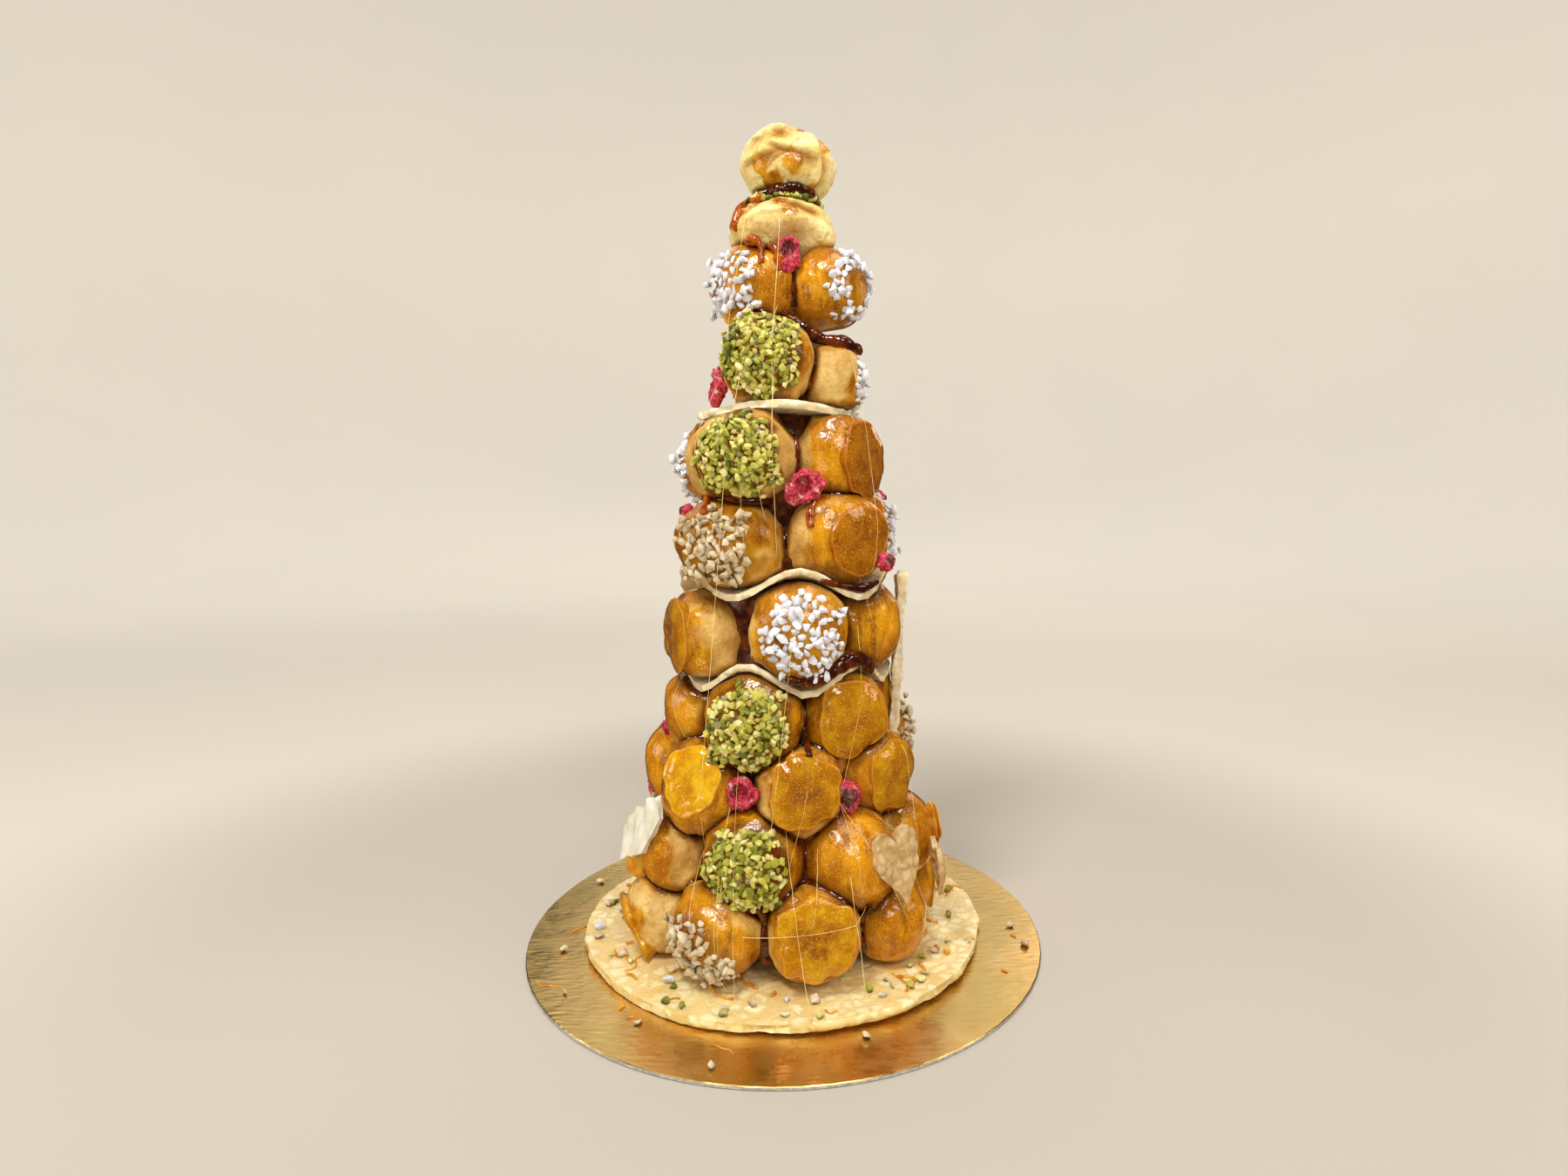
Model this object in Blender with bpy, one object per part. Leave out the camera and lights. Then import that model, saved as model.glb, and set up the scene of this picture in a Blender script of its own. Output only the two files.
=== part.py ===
"""A croquembouche: a tower of caramel-dipped choux with wavy nougatine plates between its rows,
standing on a nougatine disc and a round gold cake board.

Metres, +Z up. The origin is the centre of the board's underside. An azimuth of 0 faces the front
(-Y), and it grows towards the right (+X). Run it with: blender --background --python part.py
"""

import math
import random
from typing import NamedTuple

import bmesh
import bpy
from mathutils import Matrix, Vector
from mathutils.bvhtree import BVHTree

MM = 0.001
GAP = 0.3 * MM  # air left between neighbours that touch

# Board and nougatine disc
BOARD_RADIUS = 120 * MM
BOARD_THICKNESS = 1.6 * MM
BOARD_SEGMENTS = 72
BOARD_EDGE_ROUND = 0.3 * MM
DISC_RADIUS = 92.5 * MM
DISC_THICKNESS = 3.4 * MM
DISC_LIFT = 1.6 * MM  # how far the disc's rim curls up off the board
DISC_FLAT_SHARE = 0.75  # the share of the disc's radius that lies flat
DISC_RINGS = (0.5, DISC_FLAT_SHARE, 0.9, 1.0)
DISC_SEGMENTS = 60

# Choux
CHOUX_SEGMENTS = 12
CHOUX_RINGS = (36, 63, 90, 118, 147)  # degrees from the middle of the dipped face
FACE_DEPTH = 0.78  # distance of the flat dipped face from the centre, as a share of the radius
BASE_DEPTH = 0.76  # distance of the flat baked base from the centre, as a share of the radius
PUFF = 2.4  # 2 gives round sides, and more gives squarer, puffier ones
BLEND = 7  # how sharply the round side turns into the flat faces: higher is sharper
LUMP = 0.045  # unevenness of the side, as a share of the radius
CLEAR_OF_PLATE = 0.5 * MM
PLATE_REACH = 6  # how far outside a plate's rim choux still keep clear of its height, in millimetres
SHRINK_STEP = 0.98  # how far a choux is drawn in at a time, where it would touch a plate

# Each row of choux: height of the centres, then for each of them (azimuth, distance from the axis,
# width, height as a share of the width, lift above the row's height).
ROWS = {
    1: (25, [(-63, 60, 40, 1.0, -5), (-26, 60, 42, 1.0, 0), (13, 59, 41, 1.0, 0), (51, 60, 37, 1.0, -4),
             (98, 55, 45, 0.9, -3), (149, 56, 46, 0.9, -3), (-162, 56, 46, 0.9, -3),
             (-112, 57, 45, 0.9, -3)]),
    2: (52, [(-60, 53, 38, 1.0, -4), (-14, 51, 43, 1.0, 0), (33, 53, 42, 1.0, -1), (78, 53, 40, 1.0, -2),
             (131, 48, 46, 0.9, 0), (-173, 47, 46, 0.9, 0), (-115, 49, 45, 0.9, 0)]),
    3: (81, [(-106, 51, 46, 1.0, -5), (-45, 49, 41, 1.0, -1), (9, 45, 39, 1.0, 0), (58, 47, 38, 1.0, 4),
             (118, 46, 46, 0.9, 9), (-174, 43, 49, 0.9, 0)]),
    4: (111, [(-68, 40, 40, 1.0, 0), (-17, 42, 42, 0.97, 0), (41, 41, 37, 1.0, 0), (104, 35, 42, 1.0, 4),
              (166, 39, 44, 1.0, 0), (-127, 39, 44, 1.0, 0)]),
    5: (148, [(-60, 39.5, 42, 1.0, -3), (10, 38.5, 43, 1.0, 0), (72, 37, 41, 1.0, 0), (146, 36, 46, 0.9, 0),
              (-134, 36, 46, 0.9, 0)]),
    6: (187, [(-45, 33.5, 52, 0.81, -3), (43, 34, 43, 0.95, 1), (114, 36, 42, 0.95, 3),
              (-145, 29, 49, 0.85, -2)]),
    7: (222, [(-36, 31, 49, 0.8, 0), (55, 30, 40, 0.95, 0), (142, 29, 45, 0.85, 0),
              (-114, 34.5, 43, 0.9, 1)]),
    8: (264, [(-18, 21, 42, 0.97, 1.5), (68, 24, 33, 0.95, -5), (-165, 20, 44, 0.85, -1)]),
    9: (299.5, [(-76, 13, 40, 0.9, 1), (78, 21, 37, 0.93, 0)]),
    10: (327, [(0, 0, 47, 0.6, 0)]),
    11: (353.5, [(90, 2, 43, 0.74, 0)]),
}
# Choux whose dipped face doesn't point straight out: (azimuth, degrees above the horizon).
FACING = {
    (1, 1): (-80, -30), (1, 2): (-45, -38), (1, 3): (6, -4), (1, 4): (68, -8),
    (2, 1): (-80, 0), (2, 2): (-10, 4), (2, 3): (45, 6), (2, 4): (92, 10),
    (3, 1): (-92, 0), (3, 2): (-33, 14), (3, 3): (20, 0), (3, 4): (46, 0), (3, 5): (95, 0),
    (4, 1): (-76, 0), (4, 2): (-10, 0), (4, 3): (25, 0), (4, 4): (90, 0),
    (5, 1): (-76, 0), (5, 2): (5, 0), (5, 3): (92, 0),
    (6, 1): (-16, 0), (6, 2): (28, 0), (6, 3): (97, 0),
    (7, 1): (-28, -4), (7, 2): (62, 0), (7, 4): (-98, 0),
    (8, 1): (-12, 0), (8, 2): (86, -6),
    (9, 1): (-54, -8), (9, 2): (57, 0),
    (10, 1): (0, 84), (11, 1): (0, -86),
}

# Nougatine plates: (middle height, radius, thickness, wave height, waves, azimuth of a crest, slope
# down towards the right, offset of the middle to the right)
PLATES = {
    "nougatine_plate_low": (129, 49, 2.8, 6.0, 6, -17, 0.0, 0),
    "nougatine_plate_mid": (169, 48, 2.8, 6.0, 5, 9, 0.0, 0),
    "nougatine_plate_high": (243.5, 37, 3.2, 1.2, 3, 0, 0.0, -2),
    "nougatine_plate_top": (279.5, 17, 2.6, 0.8, 3, -10, 0.4, 9),
}
PLATE_SEGMENTS = 45
PLATE_RINGS = (0.45, 0.76, 1.0)

# Flat decorations, as outlines in millimetres: across, then up
HEART_WIDTH = 25 * MM
HEART_HEIGHT = 33 * MM
HEART_THICKNESS = 2.8 * MM
HEART_POINTS = 26
HEART_PLACE = Vector((50, -54, 51)) * MM
SHARD_OUTLINE = [(7, 14), (12, 7), (4, -7), (-9, -13), (-10, -2), (-3, 7)]
SHARD_THICKNESS = 2.2 * MM
SHARD_PLACE = Vector((-59, -32, 60)) * MM
PANEL_OUTLINE = [(0, 0), (6, -1), (12, 24), (18, 50), (23, 77), (13, 80), (2, 80), (1, 58), (-1, 40),
                 (1, 20)]
PANEL_THICKNESS = 3.6 * MM
PANEL_PLACE = Vector((50.7, -8, 92)) * MM

# Fruit pieces: (azimuth, distance from the axis, height, length, width, turn from the horizontal)
FRUITS = {
    "fruit_piece_top": (10, 24, 311.5, 15, 11, 100),
    "fruit_piece_left": (-66, 33, 255, 18, 11, 75),
    "fruit_piece_middle": (14, 42, 209.5, 18, 13, 20),
    "fruit_piece_low": (-17, 52, 83, 15, 12, 95),
}
FRUIT_THICKNESS = 0.72  # as a share of the width
FRUIT_SEGMENTS = 10
FRUIT_RINGS = (30, 52, 80, 108, 145)  # degrees from the middle of the hollow
FRUIT_HOLLOW = 0.5  # depth of the hollow, as a share of the thickness
SLIDE_FROM = 8 * MM  # how far outside its place a decoration starts
SLIDE_STEP = 0.1 * MM

DOUGH = ("choux_dough", (0.62, 0.35, 0.13), 0.55, 0.0)
NOUGATINE = ("nougatine", (0.84, 0.72, 0.50), 0.45, 0.0)
GOLD_CARD = ("gold_card", (0.78, 0.58, 0.27), 0.28, 0.9)
SUGAR_SHARD = ("sugar_shard", (0.86, 0.82, 0.68), 0.2, 0.0)
DRIED_FRUIT = ("dried_fruit", (0.72, 0.08, 0.15), 0.75, 0.0)


class Choux(NamedTuple):
    """One choux: where its centre is, its radius, its height share and which way it was dipped."""

    centre: Vector
    radius: float
    height_share: float
    face: Vector


def material(look):
    """A Principled material from a name, a colour, a roughness and a metallic value, made once."""
    name, colour, roughness, metallic = look
    made = bpy.data.materials.get(name)
    if made is None:
        made = bpy.data.materials.new(name)
        made.use_nodes = True
        shader = made.node_tree.nodes["Principled BSDF"]
        shader.inputs["Base Color"].default_value = (*colour, 1)
        shader.inputs["Roughness"].default_value = roughness
        shader.inputs["Metallic"].default_value = metallic
    return made


def add_object(name, bm, look, place, sharp_from=40):
    """Turns a bmesh into a named object at its place, with its material and soft round parts."""
    bmesh.ops.recalc_face_normals(bm, faces=bm.faces)
    bmesh.ops.translate(bm, verts=bm.verts, vec=-place)
    mesh = bpy.data.meshes.new(name)
    bm.to_mesh(mesh)
    bm.free()
    mesh.shade_smooth()
    mesh.set_sharp_from_angle(angle=math.radians(sharp_from))
    mesh.materials.append(material(look))
    made = bpy.data.objects.new(name, mesh)
    made.location = place
    bpy.context.scene.collection.objects.link(made)


def outward(azimuth, tilt=0.0):
    """The unit vector that points out of the tower at an azimuth and a tilt, in degrees."""
    a = math.radians(azimuth)
    t = math.radians(tilt)
    return Vector((math.sin(a) * math.cos(t), -math.cos(a) * math.cos(t), math.sin(t)))


def ripple(angle, seed):
    """A smooth, uneven number between about -1 and 1 that repeats once round a circle."""
    rng = random.Random(seed)
    total = 0.0
    for wave in range(2, 7):
        total += rng.uniform(0.3, 1.0) / wave * math.cos(wave * angle + rng.uniform(0, math.tau))
    return total


def lumps(direction, seed):
    """Low bumps over a sphere: a sum of a few soft waves in random directions, about -1 to 1."""
    rng = random.Random(seed)
    total = 0.0
    waves = 5
    for _ in range(waves):
        axis = Vector((rng.gauss(0, 1), rng.gauss(0, 1), rng.gauss(0, 1))).normalized()
        total += math.sin(rng.uniform(2.2, 4.2) * axis.dot(direction) + rng.uniform(0, math.tau))
    return total / math.sqrt(waves)


def ball(rings, segments, surface):
    """A closed ball whose points lie where surface(direction) says, with its first pole along +Z."""
    bm = bmesh.new()
    top = bm.verts.new(surface(Vector((0, 0, 1))))
    bottom = bm.verts.new(surface(Vector((0, 0, -1))))
    loops = []
    for ring, degrees in enumerate(rings):
        polar = math.radians(degrees)
        loop = []
        for step in range(segments):
            angle = math.tau * (step + 0.5 * (ring % 2)) / segments
            flat = math.sin(polar)
            way = Vector((flat * math.cos(angle), flat * math.sin(angle), math.cos(polar)))
            loop.append(bm.verts.new(surface(way)))
        loops.append(loop)
    for k in range(segments):
        after = (k + 1) % segments
        bm.faces.new((top, loops[0][k], loops[0][after]))
        bm.faces.new((bottom, loops[-1][after], loops[-1][k]))
        for ring, (upper, lower) in enumerate(zip(loops, loops[1:])):
            shared = lower[k] if ring % 2 == 0 else lower[after]
            bm.faces.new((upper[k], shared, upper[after]))
            previous = (lower[k - 1], upper[k]) if ring % 2 == 0 else (lower[k], upper[k])
            bm.faces.new((*previous, shared))
    return bm


def sheet_disc(outline, rings, segments, bottom, thickness, centre_x=0.0):
    """A closed, slightly wavy disc: rings of points on its underside, and the same points raised."""
    bm = bmesh.new()
    rims = []
    for lift in (0.0, thickness):
        middle = bm.verts.new((centre_x, 0.0, bottom(centre_x, 0.0) + lift))
        loops = []
        for share in rings:
            loop = []
            for step in range(segments):
                angle = math.tau * step / segments
                reach = outline(angle) * share
                x = centre_x + reach * math.cos(angle)
                y = reach * math.sin(angle)
                loop.append(bm.verts.new((x, y, bottom(x, y) + lift)))
            loops.append(loop)
        for k in range(segments):
            after = (k + 1) % segments
            bm.faces.new((middle, loops[0][k], loops[0][after]))
            for inner, outer in zip(loops, loops[1:]):
                bm.faces.new((inner[k], outer[k], outer[after], inner[after]))
        rims.append(loops[-1])
    low, high = rims
    for k in range(segments):
        after = (k + 1) % segments
        bm.faces.new((low[k], low[after], high[after], high[k]))
    bmesh.ops.triangulate(bm, faces=bm.faces)
    return bm


def slab(outline, thickness):
    """A flat plate with an outline in the XY plane, as thick along Z, centred on Z = 0."""
    bm = bmesh.new()
    rims = [[bm.verts.new((x, y, z)) for x, y in outline] for z in (-thickness / 2, thickness / 2)]
    for rim in rims:
        bm.faces.new(rim)
    low, high = rims
    for k in range(len(outline)):
        after = (k + 1) % len(outline)
        bm.faces.new((low[k], low[after], high[after], high[k]))
    bmesh.ops.triangulate(bm, faces=bm.faces)
    return bm


def facing(azimuth, tilt, turn, place):
    """Stands a piece that was made in the XY plane at a place, with its +Z pointing outwards.

    Its +Y stays up, and it is then turned in its own plane, in degrees.
    """
    out = outward(azimuth, tilt)
    right = outward(azimuth + 90)
    up = out.cross(right)
    upright = Matrix((right, up, out)).transposed().to_4x4()
    return Matrix.Translation(place) @ upright @ Matrix.Rotation(math.radians(turn), 4, "Z")


def disc_bottom(x, y):
    """Height of the nougatine disc's underside: flat, with an unevenly curled rim."""
    share = math.hypot(x, y) / DISC_RADIUS
    curl = max(0.0, share - DISC_FLAT_SHARE) / (1 - DISC_FLAT_SHARE)
    uneven = max(0.1, 0.6 + 0.5 * ripple(math.atan2(y, x), "curl"))
    return BOARD_THICKNESS + GAP + DISC_LIFT * curl * curl * uneven


def plate_middle(name, x, y):
    """Height of the middle of a plate's thickness, which waves more towards its rim."""
    height, radius, _, wave, waves, crest, slope, shift = PLATES[name]
    across = x - shift * MM
    share = min(1.0, math.hypot(across, y) / (radius * MM))
    azimuth = math.atan2(across, -y)
    rise = wave * MM * share * share * math.cos(waves * (azimuth - math.radians(crest)))
    return height * MM + rise - slope * across


def nougatine_disc(margin=0.0):
    """The thin nougatine disc that the tower is stuck to, cut unevenly round."""
    def outline(angle):
        return DISC_RADIUS * (1 + 0.022 * ripple(angle, "disc"))

    def bottom(x, y):
        return disc_bottom(x, y) - margin

    return sheet_disc(outline, DISC_RINGS, DISC_SEGMENTS, bottom, DISC_THICKNESS + 2 * margin)


def nougatine_plate(name, margin=0.0):
    """One nougatine plate, draped over the row below it."""
    radius, thickness, shift = PLATES[name][1] * MM, PLATES[name][2] * MM, PLATES[name][7] * MM

    def outline(angle):
        return radius * (1 + 0.025 * ripple(angle, name)) + margin

    def bottom(x, y):
        return plate_middle(name, x, y) - thickness / 2 - margin

    return sheet_disc(outline, PLATE_RINGS, PLATE_SEGMENTS, bottom, thickness + 2 * margin, shift)


def build_board():
    """The gold card disc, with its edges just rounded."""
    bm = bmesh.new()
    bmesh.ops.create_cone(bm, cap_ends=True, segments=BOARD_SEGMENTS, radius1=BOARD_RADIUS,
                          radius2=BOARD_RADIUS, depth=BOARD_THICKNESS)
    bmesh.ops.translate(bm, verts=bm.verts, vec=(0, 0, BOARD_THICKNESS / 2))
    rims = [e for e in bm.edges if abs(e.verts[0].co.z - e.verts[1].co.z) < BOARD_THICKNESS / 2]
    bmesh.ops.bevel(bm, geom=rims, offset=BOARD_EDGE_ROUND, segments=1, affect="EDGES")
    add_object("board", bm, GOLD_CARD, Vector((0, 0, 0)))


def choux_places():
    """Every choux, as {(row, number in the row): Choux}."""
    places = {}
    for row, (height, ring) in ROWS.items():
        for number, (azimuth, distance, width, height_share, lift) in enumerate(ring, start=1):
            centre = outward(azimuth) * distance * MM + Vector((0, 0, (height + lift) * MM))
            face = outward(*FACING.get((row, number), (azimuth, 0)))
            places[row, number] = Choux(centre, width * MM / 2, height_share, face)
    return places


def contact_planes(choux, others):
    """Where a choux is pressed flat by its neighbours: (unit vector to the neighbour, distance)."""
    planes = []
    for other in others:
        offset = other.centre - choux.centre
        apart = offset.length
        if 0 < apart < (choux.radius + other.radius) * (1 + 4 * LUMP):
            middle = apart / 2 + (choux.radius ** 2 - other.radius ** 2) / (2 * apart)
            planes.append((offset / apart, middle - GAP / 2))
    return planes


def cleared(point, centre):
    """Moves a point of a choux straight up or down until it is clear of the disc and of every plate."""
    z = max(point.z, disc_bottom(point.x, point.y) + DISC_THICKNESS + GAP)
    for name, (height, radius, thickness, _, _, _, _, shift) in PLATES.items():
        if math.hypot(point.x - shift * MM, point.y) > (radius + PLATE_REACH) * MM:
            continue
        room = thickness * MM / 2 + CLEAR_OF_PLATE
        middle = plate_middle(name, point.x, point.y)
        z = max(z, middle + room) if centre.z > height * MM else min(z, middle - room)
    return Vector((point.x, point.y, z))


def choux_reach(direction, choux, seed, planes):
    """Distance from a choux's centre to its surface, before it is kept clear of the plates."""
    level = math.hypot(direction.x, direction.y)
    squashed = (level ** PUFF + abs(direction.z / choux.height_share) ** PUFF) ** (1 / PUFF)
    side = (1 + LUMP * lumps(direction, seed)) / squashed
    along = direction.dot(choux.face)
    depth = FACE_DEPTH if along > 0 else BASE_DEPTH
    pressed = (side ** -BLEND + (abs(along) / depth) ** BLEND) ** (-1 / BLEND)
    reach = pressed * choux.radius
    for normal, distance in planes:
        towards = direction.dot(normal)
        if towards > 0:
            reach = min(reach, distance / towards)
    return reach


def touching_faces(bm, solids):
    """The numbers of the faces of a bmesh that touch any of the solids."""
    tree = BVHTree.FromBMesh(bm)
    return {mine for solid in solids for mine, _ in tree.overlap(solid)}


def build_choux(key, places, plates):
    """One choux: round and lumpy, and flat at its dipped face, its base and its neighbours."""
    choux = places[key]
    name = "choux_%d_%d" % key
    planes = contact_planes(choux, places.values())
    turn = choux.face.to_track_quat("Z", "Y").to_matrix()

    def surface(local):
        direction = turn @ local
        reach = choux_reach(direction, choux, name, planes)
        return cleared(choux.centre + direction * reach, choux.centre)

    bm = ball(CHOUX_RINGS, CHOUX_SEGMENTS, surface)
    touching = touching_faces(bm, plates)
    while touching:
        bm.faces.ensure_lookup_table()
        for vert in {vert for face in touching for vert in bm.faces[face].verts}:
            vert.co = choux.centre.lerp(vert.co, SHRINK_STEP)
        touching = touching_faces(bm, plates)
    solid = BVHTree.FromBMesh(bm)
    add_object(name, bm, DOUGH, choux.centre, sharp_from=60)
    return solid


def place_decoration(name, bm, look, place, outwards, solids):
    """Slides a piece in against the tower from outside, leaves it just clear, and adds it to the solids."""
    moved = outwards * SLIDE_FROM
    bmesh.ops.translate(bm, verts=bm.verts, vec=moved)
    while not touching_faces(bm, solids):
        bmesh.ops.translate(bm, verts=bm.verts, vec=-outwards * SLIDE_STEP)
        moved = moved - outwards * SLIDE_STEP
    bmesh.ops.translate(bm, verts=bm.verts, vec=outwards * (SLIDE_STEP + GAP))
    solids.append(BVHTree.FromBMesh(bm))
    add_object(name, bm, look, place + moved + outwards * (SLIDE_STEP + GAP))


def heart_outline():
    """A heart with its point down, centred on its middle."""
    points = []
    for step in range(HEART_POINTS):
        t = math.tau * step / HEART_POINTS
        across = 16 * math.sin(t) ** 3 / 32
        up = (13 * math.cos(t) - 5 * math.cos(2 * t) - 2 * math.cos(3 * t) - math.cos(4 * t) + 2.5) / 29
        points.append((across * HEART_WIDTH, up * HEART_HEIGHT))
    return points


def build_flat_decorations(solids):
    """The nougatine heart, the pale sugar shard and the tall nougatine panel."""
    heart = slab(heart_outline(), HEART_THICKNESS)
    heart.transform(facing(34, 8, 7, HEART_PLACE))
    place_decoration("nougatine_heart", heart, NOUGATINE, HEART_PLACE, outward(34), solids)
    shard = slab([(x * MM, y * MM) for x, y in SHARD_OUTLINE], SHARD_THICKNESS)
    shard.transform(facing(-48, 12, 0, SHARD_PLACE))
    place_decoration("sugar_shard", shard, SUGAR_SHARD, SHARD_PLACE, outward(-60), solids)
    panel = slab([(x * MM, y * MM) for x, y in PANEL_OUTLINE], PANEL_THICKNESS)
    panel.transform(facing(90, -3.3, 0, PANEL_PLACE))
    place_decoration("nougatine_panel", panel, NOUGATINE, PANEL_PLACE, outward(90), solids)


def build_fruit(name, solids):
    """One piece of dried fruit: a lumpy half shell with its hollow facing outwards."""
    azimuth, distance, height, length, width, turn = FRUITS[name]
    half = Vector((length / 2, width / 2, FRUIT_THICKNESS * width / 2)) * MM

    def surface(direction):
        polar = direction.angle(Vector((0, 0, 1)))
        reach = 1 + 0.13 * lumps(direction, name)
        hollow = 1 - FRUIT_HOLLOW * math.exp(-(polar / math.radians(34)) ** 4)
        return Vector(d * r for d, r in zip(direction, half)) * reach * hollow

    bm = ball(FRUIT_RINGS, FRUIT_SEGMENTS, surface)
    place = outward(azimuth) * distance * MM + Vector((0, 0, height * MM))
    bm.transform(facing(azimuth, 0, turn, place))
    place_decoration(name, bm, DRIED_FRUIT, place, outward(azimuth), solids)


def main():
    for old in list(bpy.data.objects):
        bpy.data.objects.remove(old)
    build_board()
    add_object("nougatine_base", nougatine_disc(), NOUGATINE, Vector((0, 0, BOARD_THICKNESS + GAP)))
    for name, (height, _, _, _, _, _, _, shift) in PLATES.items():
        add_object(name, nougatine_plate(name), NOUGATINE, Vector((shift, 0, height)) * MM)
    sheets = [nougatine_disc(GAP)] + [nougatine_plate(name, GAP) for name in PLATES]
    plates = [BVHTree.FromBMesh(bm) for bm in sheets]
    places = choux_places()
    solids = plates + [build_choux(key, places, plates) for key in places]
    build_flat_decorations(solids)
    for name in FRUITS:
        build_fruit(name, solids)


main()
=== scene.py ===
"""Looks of the croquembouche: dipped choux, toppings, nougatine, fruit, caramel, spun sugar and card."""

import math
import random
from collections import namedtuple

import bmesh
import bpy
import numpy as np
from mathutils import Matrix, Vector, noise
from mathutils.bvhtree import BVHTree


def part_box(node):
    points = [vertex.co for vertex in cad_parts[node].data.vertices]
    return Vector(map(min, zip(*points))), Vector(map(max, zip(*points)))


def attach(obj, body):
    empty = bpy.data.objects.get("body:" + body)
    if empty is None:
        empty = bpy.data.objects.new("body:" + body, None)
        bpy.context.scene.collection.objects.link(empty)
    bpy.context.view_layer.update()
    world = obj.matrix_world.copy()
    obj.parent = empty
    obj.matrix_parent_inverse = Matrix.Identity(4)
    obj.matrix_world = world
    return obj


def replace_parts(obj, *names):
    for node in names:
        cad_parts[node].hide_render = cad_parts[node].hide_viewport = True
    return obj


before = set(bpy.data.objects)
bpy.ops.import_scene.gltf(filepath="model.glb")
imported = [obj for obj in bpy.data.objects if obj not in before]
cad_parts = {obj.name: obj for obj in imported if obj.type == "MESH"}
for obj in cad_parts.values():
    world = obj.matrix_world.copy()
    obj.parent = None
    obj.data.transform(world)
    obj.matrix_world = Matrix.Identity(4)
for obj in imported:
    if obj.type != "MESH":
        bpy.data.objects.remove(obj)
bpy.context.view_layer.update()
# Without a seed, noise_vector takes its offset from the clock
noise.seed_set(1)

MM = 0.001
UP = Vector((0, 0, 1))

# Camera at table height, a little right of the tower, tipped down
CAMERA_PLACE = Vector((0.0139, -0.3924, 0.1983))
CAMERA_DOWN = 5.0
CAMERA_LENS = 19.21
CAMERA_SHIFT = -0.0194
TOWER_MIDDLE = Vector((0, 0, 0.18))
SKY_STRENGTH = 0.05
FLOOR_GLOW = 0.27
WALL_GLOW = 0.58
# Soft boxes: place, size, power, colour
LIGHTS = {
    "key": ((-0.3, -0.5, 1.1), 0.26, 7.7, (1.0, 1.0, 1.0)),
    "window": ((0.3, -0.85, 0.9), 0.3, 3.6, (1.0, 1.0, 1.0)),
    "low": ((-0.6, -0.85, 0.12), 0.2, 0.5, (1.0, 1.0, 1.0)),
    "top": ((0.3, -0.1, 1.3), 0.5, 3.1, (1.0, 1.0, 1.0)),
    "left": ((-1.2, -0.2, 0.5), 0.4, 2.0, (1.0, 1.0, 1.0)),
    "right": ((1.1, -0.3, 0.75), 0.4, 2.0, (1.0, 0.9, 0.82)),
    "back": ((0.1, 1.5, 1.3), 1.5, 6, (1.0, 0.99, 0.97)),
    "back_right": ((0.75, 1.2, 0.75), 0.5, 1.6, (1.0, 0.78, 0.6)),
    "back_left": ((-0.9, 1.2, 1.5), 0.9, 2.5, (1.0, 1.0, 1.0)),
}

# What the clear caramel coat lets through where it is seen straight on
COAT_TINT = (0.9, 0.6, 0.22, 1.0)

# Choux skins; sizes of noise are in millimetres
BALL_CUTS = 16
FINE_CUTS = 27
FRUIT_CUTS = 9
SKIN_SMOOTHING = 22
LUMP_SIZE = 10
LUMP_DEPTH = 0.95 * MM
PIMPLE_SIZE = 2.6
PIMPLE_DEPTH = 0.22 * MM
CRACK_SIZE = 11
CRACK_DEPTH = 0.9 * MM
CRACK_WIDTH = 0.07
GLAZE_THICKNESS = 0.35 * MM
GLAZE_REACH = -0.12
GLAZE_SOFTNESS = 0.1
# How far from a neighbour the caramel pools and the painted crease shade reaches
POOL_AND_SHADE_REACH = 8.0 * MM
GAP_REACH = 6.5 * MM
GAP_FILL = 0.42
DOME = 1.6 * MM

# Caramel caps where the choux were dipped and set flat
CAP_RISE = 0.6 * MM
CAP_DEPTH = 5.2 * MM
CAP_SEGMENTS = 84
CAP_RINGS = 9
FLANGE = 0.55 * MM
# A cap's rings from the middle out and round under: shares of the reach and the flange, inset, drop, rim mark
CAP_PROFILE = [(i / CAP_RINGS, 1, -1.4, 0.0, 0.62 * i / CAP_RINGS) for i in range(1, CAP_RINGS + 1)]
CAP_PROFILE += [(1, 1, -0.7, -0.1, 0.76), (1, 1, -0.2, -0.35, 0.95), (1, 1, 0.0, -0.65, 1.0)]
CAP_PROFILE += [(1, 1, -0.25, -0.95, 0.95), (1, 0.6, -0.5, -1.3, 0.8), (1, 0.2, -0.5, -2.2, 0.5)]
CAP_PROFILE += [(1, 0, -0.7, -3.6, 0.4), (1, 0, -1.6, -5.4, 0.3)]
# How far a cap sinks towards its rim, if it has a free flange and if it has none
SAG_FREE = 1.6 * MM
SAG_CLOSE = 3.2 * MM

# The choux one by one, by row and place in the row. A cap that covers less of its choux than the others:
CAP_SHARE = {"3_2": 0.88, "6_2": 0.94}
# How much wider a cap's free rim is than the others'
FLANGES = {"1_1": 5, "1_3": 4.5, "3_2": 2.4, "3_3": 4, "7_2": 2.5, "6_2": 2, "5_1": 2}
# Where a choux turns its dipped face, if not straight out: azimuth, tilt
FACING = {
    "1_1": (-80, -30), "1_2": (-40, -28), "1_3": (4, 9), "1_4": (68, -8), "2_1": (-80, 0), "2_2": (-10, 4),
    "2_3": (45, 6), "2_4": (92, 10), "3_1": (-92, 0), "3_2": (-21, 22), "3_3": (15, 14), "3_4": (46, 0),
    "3_5": (95, 0), "4_1": (-76, 0), "4_2": (-10, 0), "4_3": (19, 2), "4_4": (90, 0), "5_1": (-64, 0),
    "5_2": (5, 0), "5_3": (92, 0), "6_1": (-14, 0), "6_2": (38, 0), "6_3": (97, 0), "7_1": (-6, 0),
    "7_2": (57, 0), "7_4": (-98, 0), "8_1": (-12, 0), "8_2": (86, -6), "9_1": (-54, -8), "9_2": (57, 0),
    "10_1": (0, 84), "11_1": (0, -86),
}
# These have no flat cap, and neither do those with a topping
ROUNDED = "10_1 11_1 8_2 1_4 2_1 2_3 2_4 4_1 5_3 3_1 9_1".split()
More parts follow.
